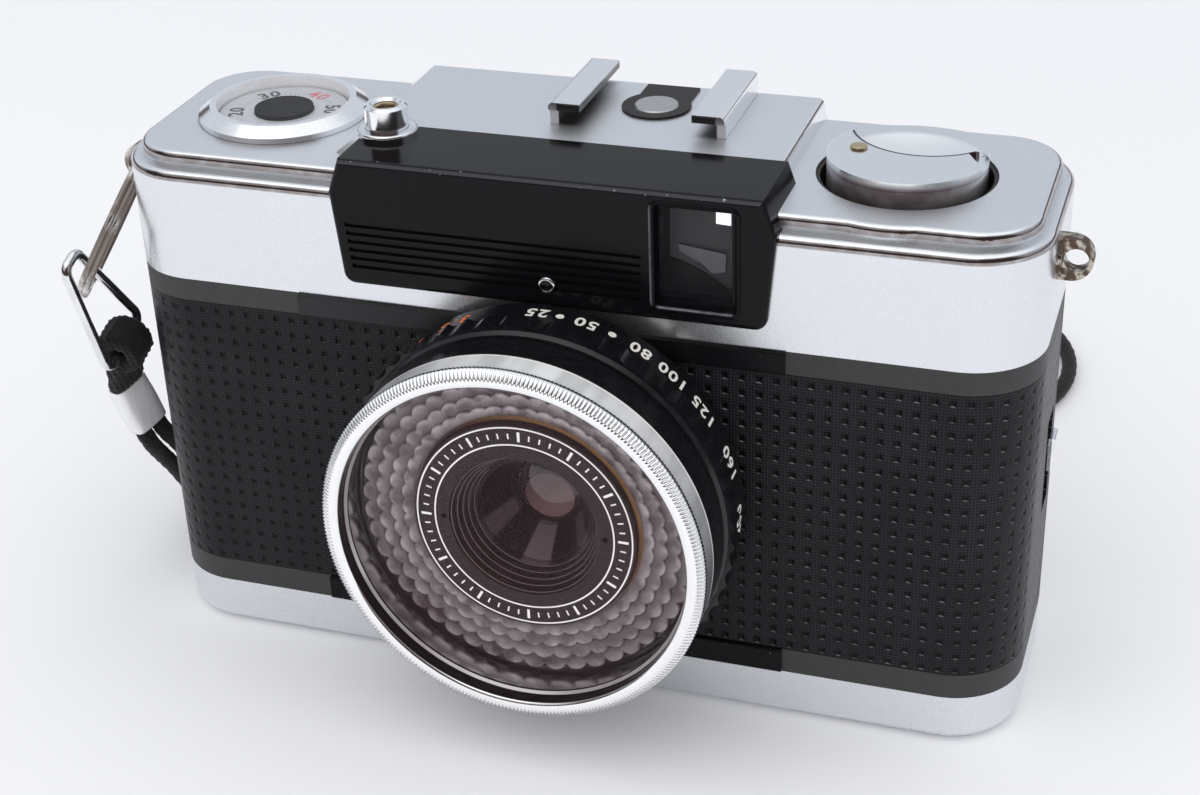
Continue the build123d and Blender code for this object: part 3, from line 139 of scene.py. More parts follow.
class Shader:
    """A node tree that is being built."""

    def __init__(self, tree):
        self.tree = tree
        tree.nodes.clear()

    def add(self, kind, settings=(), sockets=(), out=0):
        """A node with its settings and its sockets' values or links. Gives the output asked for."""
        made = self.tree.nodes.new(kind)
        for name, value in dict(settings).items():
            setattr(made, name, value)
        for key, value in dict(sockets).items():
            socket = made.inputs[key]
            if isinstance(value, Value):
                self.tree.links.new(value.socket, socket)
            elif socket.type == "RGBA":
                socket.default_value = (*value[:3], 1.0)
            else:
                socket.default_value = value
        return Value(self, made.outputs[out]) if made.outputs else made

    def mix(self, share, first, second):
        """A colour between two, by share."""
        return self.add("ShaderNodeMix", {"data_type": "RGBA"}, {0: share, 6: first, 7: second}, out=2)


class Finish(Shader):
    """A surface finish: a material with one Principled shader."""

    def __init__(self, name):
        self.material = bpy.data.materials.new(name)
        self.material.use_nodes = True
        super().__init__(self.material.node_tree)
        here = self.add("ShaderNodeTexCoord", out="Object")
        self.place = self.add(
            "ShaderNodeVectorMath", {"operation": "SCALE"}, {0: here, "Scale": 1 / MM}
        )
        self.x = self.add("ShaderNodeSeparateXYZ", {}, {0: self.place})
        self.y, self.z = self.x.other("Y"), self.x.other("Z")

    def stretched(self, x, y, z):
        """The place with each axis scaled, for drawn or brushed patterns."""
        return self.add("ShaderNodeVectorMath", {"operation": "MULTIPLY"}, {0: self.place, 1: (x, y, z)})

    def grain(self, size, detail=2.0, place=None):
        """Soft noise whose lumps are about size millimetres."""
        sockets = {"Vector": place or self.place, "Scale": 1 / size, "Detail": detail}
        return self.add("ShaderNodeTexNoise", {}, sockets)

    def upward(self):
        """How far a face looks up, from 0 for a wall to 1 for a flat top."""
        facing = self.add("ShaderNodeTexCoord", out="Normal")
        return self.add("ShaderNodeSeparateXYZ", {}, {0: facing}, out="Z")

    def about_lens(self):
        """Distance from the lens axis, and turns from the top, clockwise seen from the front."""
        across, up = self.x - LENS[0], self.z - LENS[2]
        return (across * across + up * up) ** 0.5, across.math("ARCTAN2", up) / TURN

    def about(self, centre):
        """Distance from an upright axis, and turns round it."""
        across, back = self.x - centre[0], self.y - centre[1]
        return (across * across + back * back) ** 0.5, across.math("ARCTAN2", back) / TURN

    def done(self, colour, metal=0.0, rough=0.4, height=None, **sockets):
        """Closes the finish. Height is in millimetres and becomes bump."""
        facts = {"Base Color": colour, "Metallic": metal, "Roughness": rough}
        facts.update({name.replace("_", " "): value for name, value in sockets.items()})
        if height is not None:
            facts["Normal"] = self.add(
                "ShaderNodeBump", {}, {"Strength": 1.0, "Distance": MM, "Height": height}
            )
        surface = self.add("ShaderNodeBsdfPrincipled", {}, facts)
        self.add("ShaderNodeOutputMaterial", {}, {"Surface": surface})
        return self.material


# ---------------------------------------------------------------- finishes
def satin_chrome():
    """Fine blasted plating: a tight grain in the colour and gloss, clouds of wear, edges that handling has
    polished, painted brown reflections on the walls of the steps, on sloping faces above the plate and round
    the foot of the counter's bezel, and painted shade under the lips of the shoe."""
    f = Finish("satin chrome")
    speckle = f.grain(0.16, 3)
    cloud = f.grain(14)
    up = f.upward()
    edge = up.band(0.55, 0.34, 0.06)
    # Painted reflection: brown bands on the walls of the two steps and on sloping faces above the plate, patchy
    # in strength.
    steps = f.z.band(PLATE_TOP - 0.72, 0.40, 0.22).most(f.z.band(SHOULDER_TOP - 0.66, 0.30, 0.18))
    slope = up.band(0.48, 0.12, 0.10) * f.z.ramp(PLATE_TOP, PLATE_TOP + 0.3)
    patchy = f.grain(2.0, 4).ramp(0.2, 0.6) * 0.4 + 0.6
    brown = (steps * up.ramp(0.93, 0.80)).most(slope) * patchy
    # Painted shade: the cover's upward faces under the shoe's lips are painted dark.
    beside = abs(f.x - SHOE[0])
    under = beside.ramp(10.2, 9.4) * beside.ramp(6.2, 8.4) * abs(f.y - SHOE[1]).ramp(8.2, 6.8)
    round_counter, _ = f.about(COUNTER)
    # Painted reflection: a dark brown line round the foot of the counter's bezel.
    brown = brown.most(round_counter.band(10.56, 0.05, 0.05) * 0.8)
    painted_shade_under_lips = under * f.z.ramp(PLATE_TOP + 1.0, PLATE_TOP + 1.3) * up.ramp(0.5, 0.8)
    colour = f.mix(speckle.ramp(0.3, 0.7), (0.74, 0.76, 0.79), (0.79, 0.81, 0.84))
    colour = f.mix(edge * 0.8, colour, (0.90, 0.91, 0.93))
    colour = f.mix(brown * 0.72, colour, (0.15, 0.105, 0.095))
    colour = f.mix(painted_shade_under_lips * 0.85, colour, (0.05, 0.045, 0.042))
    rough = cloud * 0.05 + speckle * 0.08 + 0.22 + up.ramp(0.95, 0.99) * 0.16 - edge * 0.14
    return f.done(colour, 1.0, rough, speckle * 0.002)


def shoe_chrome():
    """Bright bent steel of the accessory shoe, brightest on its edges, with painted shade, nearly black, on its
    undersides and on its inner walls under its lips.
    """
    f = Finish("shoe chrome")
    drawn = f.grain(0.4, 3, f.stretched(4.0, 1.0, 4.0))
    up = f.upward()
    # Painted shade: faces that look down and the inner walls under the lips are painted nearly black.
    below = up.ramp(-0.3, -0.7)
    inside = abs(f.x - SHOE[0]).ramp(9.75, 9.55) * abs(up).ramp(0.3, 0.1) * f.z.ramp(72.0, 71.6)
    colour = f.mix(drawn, (0.84, 0.86, 0.89), (0.93, 0.94, 0.96))
    colour = f.mix(up.band(0.5, 0.3, 0.1), colour, (1.0, 1.0, 1.0))
    colour = f.mix(below.most(inside) * 0.9, colour, (0.04, 0.035, 0.033))
    return f.done(colour, 1.0, drawn * 0.08 + 0.20, drawn * 0.002)


def turned_chrome(name, centre, wall=0.0):
    """Satin plating with faint turning rings round an upright axis, duller on a wall of that radius."""
    f = Finish(name)
    radius, _ = f.about(centre)
    dull = radius.ramp(wall + 0.06, wall)
    speckle = f.grain(0.2, 3)
    rings = (radius * (TURN / 0.22)).wave()
    colour = f.mix(speckle.ramp(0.3, 0.7), (0.86, 0.87, 0.89), (0.95, 0.955, 0.97))
    rough = speckle * 0.06 + 0.12 + dull * 0.4
    return f.done(colour, 1.0 - dull * 0.5, rough, rings * 0.0012 + speckle * 0.002)


def knob_chrome():
    """The rewind knob: as turned chrome, with a painted shadow line along its crank's inner edge, a painted
    highlight line and a painted bright hollow inside that line, a painted highlight round the top of its side
    and a painted dark brown reflection low on its front side."""
    f = Finish("rewind knob chrome")
    radius, turns = f.about(KNOB)
    apart, _ = f.about(CRANK_ARC)
    inward = (f.y - CRANK_ARC[1]).ramp(0, -0.5)
    top = f.z.ramp(KNOB_RIM - 2.5, KNOB_RIM - 1.5) * radius.ramp(8.95, 8.85)
    # Painted shade and highlight: a dark line along the crank's inner edge, a bright line just inside it and a
    # brighter hollow beyond.
    line = apart.band(8.70, 0.26, 0.06) * top * inward
    lit = apart.band(8.28, 0.08, 0.06) * top * inward
    dish = apart.ramp(8.4, 7.0) * top
    speckle = f.grain(0.2, 3)
    # Painted reflection: dark brown low on the side, strongest at the front, patchy in strength.
    low = f.z.ramp(KNOB_RIM + 0.95, KNOB_RIM + 0.1) * radius.ramp(9.0, 9.06)
    front = (f.y - KNOB[1]).ramp(1.0, -8.0)
    tarnish_and_painted_reflection = low * front * (f.grain(3.0, 4).ramp(0.2, 0.6) * 0.3 + 0.7)
    # Painted highlight: a bright band round the top of the side.
    rim = f.z.band(KNOB_RIM + 1.0, 0.10, 0.05) * radius.ramp(8.95, 9.02)
    rings = (radius * (TURN / 0.22)).wave()
    colour = f.mix(speckle.ramp(0.3, 0.7), (0.80, 0.82, 0.85), (0.90, 0.92, 0.94))
    colour = f.mix(dish * 0.8, colour, (1.0, 1.0, 1.0))
    colour = f.mix(tarnish_and_painted_reflection, colour, (0.15, 0.12, 0.125))
    colour = f.mix(lit.most(rim), colour, (1.0, 1.0, 1.0))
    colour = f.mix(line, colour, (0.03, 0.02, 0.025))
    rough = speckle * 0.08 + 0.16 + tarnish_and_painted_reflection * 0.2
    return f.done(colour, 1.0 - line * 0.7 - tarnish_and_painted_reflection * 0.3, rough, rings * 0.0012 + speckle * 0.002)


def polished_chrome():
    """Bright plating with hairlines and a few cloudy spots."""
    f = Finish("polished chrome")
    hairlines = f.grain(0.5, 4, f.stretched(1.0, 6.0, 1.0))
    cloud = f.grain(3)
    colour = f.mix(cloud.ramp(0.35, 0.75), (0.86, 0.87, 0.88), (0.74, 0.75, 0.77))
    return f.done(colour, 1.0, hairlines.ramp(0.5, 0.75) * 0.16 + 0.08, hairlines * 0.002)


def worn_nickel(name, bright, dark, size, least):
    """Nickel gone brown in its hollows, in patches of that size. A lower least leaves fewer bright ones."""
    f = Finish(name)
    tarnish_and_painted_reflection = f.grain(size, 4).ramp(least, least + 0.18)
    colour = f.mix(tarnish_and_painted_reflection, bright, dark)
    return f.done(colour, 1.0 - tarnish_and_painted_reflection * 0.5, tarnish_and_painted_reflection * 0.3 + 0.16, tarnish_and_painted_reflection * -0.02)


def gloss_black():
    """Deep black lacquer, worn to bright specks along its top front edge, with a thin painted highlight on its
    rounded front edges.
    """
    f = Finish("gloss black lacquer")
    near_edge = f.z.band(69.0, 0.3, 0.4) * f.y.ramp(FRONT + 0.4, FRONT - 0.4)
    wear_and_painted_highlight = (f.grain(0.6, 4) * near_edge).ramp(0.68, 0.71)
    # Painted highlight: a thin grey band on the rounded front edges.
    thin = f.upward().band(0.62, 0.22, 0.08) * f.y.ramp(FRONT - 0.5, FRONT - 0.9)
    ripple = f.grain(6)
    black = f.mix(thin, (0.004, 0.004, 0.005), (0.045, 0.047, 0.053))
    colour = f.mix(wear_and_painted_highlight, black, (0.50, 0.51, 0.53))
    return f.done(colour, wear_and_painted_highlight * 0.9, wear_and_painted_highlight * 0.25 + 0.14, ripple * 0.01, Specular_IOR_Level=0.14)


def lip_black():
    """Thick lacquer on the bead round the finder's window, with a painted highlight in patches on the upper
    side of its lower run and, fainter, on its left run.
    """
    f = Finish("finder lip lacquer")
    # Painted highlight: the upward faces of the lower run, and at half strength the left run, are painted
    # lighter in patches.
    foot = f.upward().ramp(0.25, 0.8) * (f.z - FINDER[1]).ramp(-6.0, -6.3)
    aside = (f.x - FINDER[0]).ramp(-4.85, -5.05) * 0.5
    wear_and_painted_highlight = foot.most(aside) * (f.grain(0.9, 3).ramp(0.2, 0.6) * 0.5 + 0.5)
    colour = f.mix(wear_and_painted_highlight, (0.003, 0.003, 0.004), (0.19, 0.195, 0.21))
    return f.done(colour, 0.0, 0.16, f.grain(0.5, 2) * 0.004, Specular_IOR_Level=0.12)


def black_band():
    """Satin black paint on brass, with tiny bright nicks."""
    f = Finish("satin black paint")
    nicks = f.grain(0.55, 3).ramp(0.735, 0.76)
    orange_peel = f.grain(0.35, 2)
    # Painted reflection: the black is painted lighter towards the top and the left.
    black = f.mix(f.z.ramp(20, 42) * f.x.ramp(20, -40), (0.003, 0.003, 0.004), (0.028, 0.028, 0.031))
    colour = f.mix(nicks, black, (0.30, 0.28, 0.26))
    return f.done(colour, nicks * 0.8, 0.26 + orange_peel * 0.1, orange_peel * 0.004, Specular_IOR_Level=0.14)


def leatherette():
    """Pressed covering: rows of square dimples 2 mm apart, a fine woven hatch between them, and a thin bowed
    glint at the foot of each dimple.

    The grid follows the body round its corners: the way along is the flat run, then the corner's radius
    times the angle round it, then the run down the side."""
    f = Finish("pressed leatherette")
    out, aside = abs(f.x), abs(f.y)
    corner = (out - BODY_FLAT).most(0).math("ARCTAN2", (aside - BODY_SIDE).most(0.0001))
    along = out.least(BODY_FLAT) + corner * BODY_CORNER + (BODY_SIDE - aside).most(0)
    pitch, thread_pitch = 2.0, 0.4
    column, row = (along / pitch).part() - 0.5, (f.z / pitch).part() - 0.5
    dimple = abs(column).most(abs(row)).ramp(0.27, 0.10)
    upright, level = (abs((way * (math.pi / thread_pitch)).wave()) for way in (along, f.z))
    thread = upright.most(level).ramp(0.86, 1.0)
    weave = f.grain(0.25, 2)
    wear_and_painted_highlight = f.grain(9, 2).ramp(0.3, 0.7) * 0.4 + 0.6
    fitful = f.grain(1.3, 2).ramp(0.35, 0.65) * 0.7 + 0.3
    bowed = row + column * column * 1.5
    glint = abs(column - 0.03).ramp(0.19, 0.08) * bowed.band(-0.19, 0.02, 0.045)
    glint = glint * fitful * f.x.ramp(-70, 40)
    height = thread * 0.05 * (1 - dimple) - dimple * 0.30 + weave * 0.02
    colour = f.mix(thread * wear_and_painted_highlight * 0.7 + weave * 0.2, (0.002, 0.002, 0.003), (0.032, 0.032, 0.037))
    colour = f.mix(dimple, colour, (0.001, 0.001, 0.002))
    colour = f.mix(glint, colour, (0.14, 0.14, 0.15))
    return f.done(colour, 0.0, 0.33, height, Specular_IOR_Level=0.15)


def ring_black():
    """Black enamel of the lens's rings, softly worn."""
    f = Finish("lens ring black")
    wear = f.grain(0.5, 4)
    colour = f.mix(wear.ramp(0.4, 0.7), (0.005, 0.005, 0.006), (0.010, 0.010, 0.013))
    return f.done(colour, 0.0, 0.18 + wear * 0.12, wear * 0.005, Specular_IOR_Level=0.42)


def name_ring_black():
    """Matt black face with two thin white circles and plain white ticks between them."""
    f = Finish("lens face black")
    radius, turns = f.about_lens()
    circles = radius.band(10.94, 0.07, 0.05).most(radius.band(13.14, 0.07, 0.05))
    short = (turns * 60 + 0.5).part().band(0.5, 0.06, 0.03) * radius.band(12.04, 0.32, 0.05)
    long = (turns * 12 + 0.5).part().band(0.5, 0.022, 0.008) * radius.band(12.04, 0.60, 0.05)
    white = circles.most(short).most(long) * f.y.ramp(FRONT - 12.7, FRONT - 12.8)
    dust = f.grain(0.3, 3)
    black = f.mix(dust, (0.012, 0.007, 0.008), (0.024, 0.016, 0.017))
    return f.done(f.mix(white, black, (0.86, 0.84, 0.84)), 0.0, 0.40, dust * 0.004, Specular_IOR_Level=0.2)


def dull_black(name="dull black", gleam=0.3):
    """Flat inside black with a little dust."""
    f = Finish(name)
    dust = f.grain(0.4, 3)
    colour = f.mix(dust, (0.008, 0.006, 0.006), (0.020, 0.016, 0.016))
    return f.done(colour, 0.0, 0.42, dust * 0.004, Specular_IOR_Level=gleam)


def lens_baffle():
    """Inside of the lens: thin turned rings far out painted pale as highlights, strongest to the lower left,
    then a smooth cone with three pale streaks of painted reflection.
    """
    f = Finish("lens baffle")
    radius, turns = f.about_lens()
    # Painted highlights on the turned rings, strongest to the lower left, and painted reflection streaks on the
    # cone.
    around = (turns * -TURN - 2.4).math("COSINE") * 0.4 + 0.6
    rings = (radius * (1 / 0.44)).part().band(0.5, 0.07, 0.06) * radius.band(8.3, 1.15, 0.1) * around
    below = abs(turns).band(0.5, 0.035, 0.012)
    aside = abs(abs(turns) - 0.5).band(0.17, 0.02, 0.02) * 0.5
    streak = below.most(aside) * radius.band(5.4, 1.2, 0.8)
    dust = f.grain(0.6, 2)
    dark = f.mix(dust, (0.007, 0.004, 0.004), (0.011, 0.007, 0.007))
    colour = f.mix(rings.most(streak * 0.5), dark, (0.19, 0.15, 0.16))
    return f.done(colour, 0.0, 0.30, None, Specular_IOR_Level=0.15)


def cast_alloy():
    """Die cast body metal, painted dull black over a pebbled skin."""
    f = Finish("painted casting")
    pebbles = f.grain(0.5, 3)
    colour = f.mix(pebbles, (0.014, 0.014, 0.015), (0.032, 0.032, 0.034))
    return f.done(colour, 0.0, 0.5, pebbles * 0.03)


def plain_steel():
    """Ground steel with straight hairlines."""
    f = Finish("ground steel")
    hairlines = f.grain(0.2, 3, f.stretched(1.0, 1.0, 9.0))
    colour = f.mix(hairlines, (0.42, 0.42, 0.43), (0.58, 0.58, 0.59))
    return f.done(colour, 1.0, 0.22 + hairlines * 0.2, hairlines * 0.004)


def old_brass():
    """Turned brass, dulled."""
    f = Finish("old brass")
    dull = f.grain(0.4, 3)
    colour = f.mix(dull, (0.46, 0.36, 0.20), (0.62, 0.52, 0.36))
    return f.done(colour, 1.0, 0.25 + dull * 0.2, dull * 0.006)


def counter_face():
    """Silver dial with fine printed strokes between its numbers, round a black hub."""
    f = Finish("counter dial")
    radius, turns = f.about(COUNTER)
    strokes = (turns * 60 + 0.5).part().band(0.5, 0.05, 0.03) * radius.band(5.6, 0.45, 0.06)
    hub = radius.ramp(3.75, 3.70)
    sheen = f.grain(0.25, 2)
    silver = f.mix(sheen, (0.52, 0.53, 0.57), (0.62, 0.63, 0.67))
    colour = f.mix(strokes * 0.6, silver, (0.05, 0.05, 0.055))
    colour = f.mix(hub, colour, (0.008, 0.008, 0.009))
    return f.done(colour, (1 - hub) * 0.35, 0.38 + hub * 0.2, sheen * 0.003, Specular_IOR_Level=0.12)


def coated_glass():
    """The front element: dark at its edge, with a dusty pink reflection that fills its lower right."""
    f = Finish("coated glass")
    across, up = f.x - (LENS[0] + 0.35), f.z - (LENS[2] - 0.45)
    apart = (across * across + up * up) ** 0.5
    haze = f.grain(1.2, 2)
    pink = f.mix(haze, (0.13, 0.070, 0.072), (0.19, 0.115, 0.115))
    bright = f.mix((across * 0.5 - up).ramp(-2.5, 3.0), (0.085, 0.052, 0.056), pink)
    colour = f.mix(apart.ramp(3.15, 2.95), (0.012, 0.008, 0.009), bright)
    return f.done(colour, 0.0, 0.05 + haze * 0.02, None, Coat_Weight=0.4, Coat_Roughness=0.02)


def clear_glass(name, tint, alpha, gleam=0.5):
    """A thin pane: a faint veil of its tint over what is behind it."""
    f = Finish(name)
    smear = f.grain(4, 3)
    veil = (smear + 0.6) * alpha
    return f.done(tint, 0.0, 0.02 + smear * 0.06, None, Alpha=veil, Specular_IOR_Level=gleam)


def cell_brown():
    """The light cell behind its lenslets."""
    f = Finish("light cell")
    patch = f.grain(1.2, 3)
    colour = f.mix(patch, (0.05, 0.028, 0.025), (0.09, 0.05, 0.042))
    return f.done(colour, 0.3, 0.35, patch * 0.01)


def lenslet_plastic():
    """Moulded window over the cell: painted light and shade on each lenslet, pale where it swells and dark in
    the creases, darker towards the bottom, and a painted gold reflection at its inner rim to the upper right.
    """
    f = Finish("lenslet window")
    swell = f.add("ShaderNodeAttribute", {"attribute_name": "swell"}, out="Fac")
    radius, turns = f.about_lens()
    haze = f.grain(0.8, 2)
    drift = f.grain(2.2, 3).ramp(0.33, 0.60)
    pale = f.mix(haze, (0.40, 0.35, 0.37), (0.66, 0.59, 0.62))
    pale = f.mix(drift, (0.15, 0.115, 0.13), pale)
    low = f.z.ramp(LENS[2] + 12, LENS[2] - 16) * 0.3
    pale = f.mix(low, pale, (0.13, 0.10, 0.11))
    # Painted light and shade: each lenslet pale at its swelling outer rim and dark in the creases.
    cells = f.mix(swell**2.5, (0.028, 0.017, 0.020), pale)
    # Painted reflection: a gold band at the inner rim, to the upper right.
    painted_gold_reflection = radius.ramp(14.35, 14.0) * (turns * TURN - 0.75).math("COSINE").ramp(0.1, 0.9)
    gold = f.mix(painted_gold_reflection, f.mix(radius.ramp(14.2, 14.0), cells, (0.05, 0.03, 0.03)), (0.24, 0.13, 0.06))
    colour = f.mix(radius.ramp(20.15, 20.35), gold, (0.03, 0.022, 0.026))
    return f.done(colour, 0.0, 0.12 + haze * 0.05, None, Coat_Weight=0.3, Coat_Roughness=0.03)


def knurled_chrome():
    """The filter ring: bright front rim, a smooth side of satin silver with a painted sheen that is palest on
    top and a painted white line at its rear edge, and a dark inside with a thin light line."""
    f = Finish("filter ring chrome")
    drawn = f.grain(0.3, 3, f.stretched(1.0, 8.0, 1.0))
    forward = FRONT - f.y
    radius, turns = f.about_lens()
    side = forward.ramp(17.0, 16.8) * forward.ramp(13.85, 14.0) * radius.ramp(22.5, 22.7)
    inside = radius.ramp(21.13, 21.05) * forward.ramp(18.12, 18.02)
    lip = forward.band(16.3, 0.08, 0.05)
    # Painted highlight: a thin white line at the rear edge of the side.
    rear = forward.band(14.0, 0.12, 0.08) * side
    # Painted sheen: the side is painted palest near the top, in streaks, and dark elsewhere.
    sheen = (turns * TURN - 0.25).math("COSINE").most(0) ** 1.6
    streak = f.grain(1.0, 3, f.add("ShaderNodeCombineXYZ", {}, {0: turns * 30, 1: forward * 0.05}))
    lit = (sheen * (streak.ramp(0.3, 0.75) * 0.6 + 0.6)).least(1)
    colour = f.mix(drawn, (0.95, 0.95, 0.95), (1.0, 1.0, 1.0))
    silver = f.mix(lit, (0.12, 0.125, 0.14), (0.97, 0.99, 1.0))
    silver = f.mix(rear, silver, (1.0, 1.0, 1.0))
    dark = f.mix(lip, (0.022, 0.014, 0.018), (0.5, 0.46, 0.47))
    colour = f.mix(inside, f.mix(side, colour, silver), dark)
    metal = 1 - (side * 0.7).most(inside * 0.6).most(rear)
    return f.done(colour, metal, 0.12 + drawn * 0.10 + side * 0.18, drawn * 0.002)


def braid(name, size):
    """Black braided yarn: crossing ridges with a soft fuzz, along the piece's own length and round it."""
    f = Finish(name)
    fuzz = f.grain(0.12, 4)
    lumps = f.grain(size, 3)
    colour = f.mix(fuzz * 0.6 + lumps * 0.4, (0.003, 0.003, 0.004), (0.014, 0.014, 0.016))
    return f.done(
        colour, 0.0, 0.85, fuzz * 0.10 + lumps * 0.08, Sheen_Weight=0.12, Sheen_Roughness=0.5,
        Specular_IOR_Level=0.15,
    )


def sleeve_white():
    """Slick pale sleeve with long soft creases."""
    f = Finish("slick white sleeve")
    creases = f.grain(1.2, 3, f.stretched(1.6, 1.6, 0.35))
    colour = f.mix(creases, (0.66, 0.67, 0.69), (0.86, 0.87, 0.88))
    return f.done(colour, 0.15, 0.14 + creases * 0.12, creases * 0.05, Coat_Weight=0.5, Coat_Roughness=0.08)


def print_paint(name, colour):
    """Printed marks, a little uneven."""
    f = Finish(name)
    patchy = f.grain(0.2, 2)
    return f.done(f.mix(patchy, [0.86 * part for part in colour], colour), 0.0, 0.5, patchy * 0.003)


def ground_glass():
    """The small bright frame seen in the finder, glowing with painted light."""
    f = Finish("bright frame")
    glow = f.mix(f.grain(0.8, 2), (0.80, 0.83, 0.88), (0.95, 0.97, 1.0))
    return f.done((0.9, 0.92, 0.95), 0.0, 0.6, None, Emission_Color=glow, Emission_Strength=0.75)


def dress(material, *names):
    """Gives CAD nodes their finish."""
    for name in names:
        for place in node[name].material_slots:
            place.material = material


# ---------------------------------------------------------------- surfaces
def unit(*vector):
    """The same direction, one long."""
    vector = np.array(vector, float).reshape(-1)
    return vector / np.linalg.norm(vector)


def grid_faces(rows, columns, closed_rows=True):
    """Quads over a grid of points whose columns are joined round, and its rows too if they are closed."""
    row = np.arange(rows if closed_rows else rows - 1)
    a, b = np.meshgrid(row, np.arange(columns), indexing="ij")
    c, d = (a + 1) % rows, (b + 1) % columns
    return np.stack((a * columns + b, a * columns + d, c * columns + d, c * columns + b), -1).reshape(-1, 4)


def in_scene(name, data):
    """An object with that data, linked to the scene."""
    made = bpy.data.objects.new(name, data)
    bpy.context.scene.collection.objects.link(made)
    return made


def piece(name, points, faces, material, body, stands_for=(), smooth=True, values=None, caps=None):
    """A mesh from arrays of points in millimetres and faces. Faces are turned outwards by the sign of the
    volume, which is a sixth of the sum of each triangle's corner products. caps is the number of points in a
    row: the first and the last row are then closed with one flat face each."""
    points = np.asarray(points, float).reshape(-1, 3) * MM
    faces = np.asarray(faces, int)
    middle = points.mean(0)
    corners = [points[faces[:, i]] - middle for i in range(faces.shape[1])]
    volume = sum(
        np.einsum("ij,ij->i", corners[0], np.cross(corners[i], corners[i + 1])).sum()
        for i in range(1, faces.shape[1] - 1)
    )
    faces = faces.tolist()
    if caps:
        last = len(points) - caps
        faces += [list(range(caps))[::-1], list(range(last, last + caps))]
    if volume < 0:
        faces = [face[::-1] for face in faces]
    mesh = bpy.data.meshes.new(name)
    mesh.from_pydata(points.tolist(), [], faces)
    mesh.polygons.foreach_set("use_smooth", np.full(len(faces), smooth))
    if values is not None:
        for key, numbers in values.items():
            layer = mesh.attributes.new(key, "FLOAT", "POINT")
            layer.data.foreach_set("value", np.asarray(numbers, np.float32).reshape(-1))
    mesh.materials.append(material)
    mesh.update()
    made = in_scene(name, mesh)
    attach(made, body)
    if stands_for:
        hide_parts(*stands_for)
    return made


def turned_about_lens(profile, steps, swell=None):
    """Rings of (radius, forward) pairs round the lens axis: x = r sin a, z = r cos a. swell adds to the
    radius and to the forward distance at each point."""
    angle = np.arange(steps) * TURN / steps
    radius, forward = (np.repeat(np.array(profile)[:, [i]], steps, 1) for i in (0, 1))
    if swell is not None:
        wider, further = swell(radius, forward, angle[None, :])
        radius, forward = radius + wider, forward + further
    across, up = radius * np.sin(angle), radius * np.cos(angle)
    points = np.stack((LENS[0] + across, LENS[1] - forward, LENS[2] + up), -1)
    return points, grid_faces(len(profile), steps)


def resampled(corners, step):
    """Points about step apart along the straight runs between corners, corners kept."""
    corners = np.array(corners, float)
    runs = [
        np.linspace(a, b, max(2, int(np.linalg.norm(b - a) / step) + 1))[:-1]
        for a, b in zip(corners[:-1], corners[1:])
    ]
    return np.vstack((*runs, corners[-1:]))


def make_filter_ring():
    """A turned ring whose front edge and bevel are knurled: the radius there falls from the tips by
    0.13 (1 - w), where w is a triangle wave of 300 teeth a turn."""
    profile = resampled(
        ((21.15, 11.7), (22.0, 11.7), (22.0, 13.6), (22.75, 13.6), (22.92, 13.75), (22.92, 16.85),
         (23.05, 17.0), (23.05, 17.75), (22.35, 18.25), (22.2, 18.3), (21.15, 18.3), (20.9, 18.05),
         (20.9, 16.4), (20.55, 16.2), (20.55, 15.9), (21.15, 15.9), (21.15, 11.75)), 0.5)
    teeth, depth = 300, 0.13

    def knurl(radius, forward, angle):
        wave = 1 - 4 * abs((angle * teeth / TURN) % 1 - 0.5)
        reach = np.clip((forward - 16.9) / 0.15, 0, 1) * np.clip((radius - 22.25) / 0.1, 0, 1)
        return reach * (wave - 1) * depth, 0 * radius

    points, faces = turned_about_lens(profile[:-1], teeth * 4, knurl)
    return piece("filter_ring_knurled", points, faces, knurled_chrome(), "body",
                 ("filter_ring",))


def lenslet_height(radius, angle):
    """Four rows of overlapping scales, each row half a step round from the last and an inner row lying over
    the next. A scale is a disc that rises outwards: (1 + (r - centre) / its radius) / 2, soft at its rim."""
    step, scale = TURN / LENSLETS, 1.55
    height = np.zeros(np.broadcast(radius, angle).shape)
    for row, rim in reversed(list(enumerate((15.6, 17.2, 18.85, 20.5)))):
        centre = rim - scale
        across = ((angle / step + row / 2) % 1 - 0.5) * step * centre
        apart = np.sqrt(across**2 + (radius - centre) ** 2) / scale
        rise = (1 + (radius - centre) / scale) / 2
        height = np.where(apart < 1, rise * np.clip((1 - apart) / 0.12, 0, 1) ** 0.5, height)
    return height


def make_lenslet_window():
    """A flat ring whose front swells into rows of lenslets, 0.55 mm high."""
    inner, outer, front_at, back_at, high = 13.56, 20.55, 11.65, 11.1, 0.55
    front = [(r, front_at) for r in np.linspace(inner, outer, 64)]
    profile = np.array(front + [(outer, back_at), (inner, back_at)])
    steps = LENSLETS * 14
    angle = np.arange(steps) * TURN / steps
    swell = lenslet_height(profile[:, [0]], angle[None, :])
    swell[len(front):] = 0

    def raise_front(radius, forward, turned):
        return 0 * radius, swell * high

    points, faces = turned_about_lens(profile, steps, raise_front)
    return piece("lenslet_window", points, faces, lenslet_plastic(), "body",
                 ("cell_window",), values={"swell": swell})


def turned_upright(centre, profile, steps):
    """Rings of (radius, height) pairs round an upright axis at centre."""
    angle = np.arange(steps) * TURN / steps
    radius, height = (np.repeat(np.array(profile)[:, [i]], steps, 1) for i in (0, 1))
    points = np.stack((centre[0] + radius * np.cos(angle), centre[1] + radius * np.sin(angle), height), -1)
    return points, grid_faces(len(profile), steps, closed_rows=False)


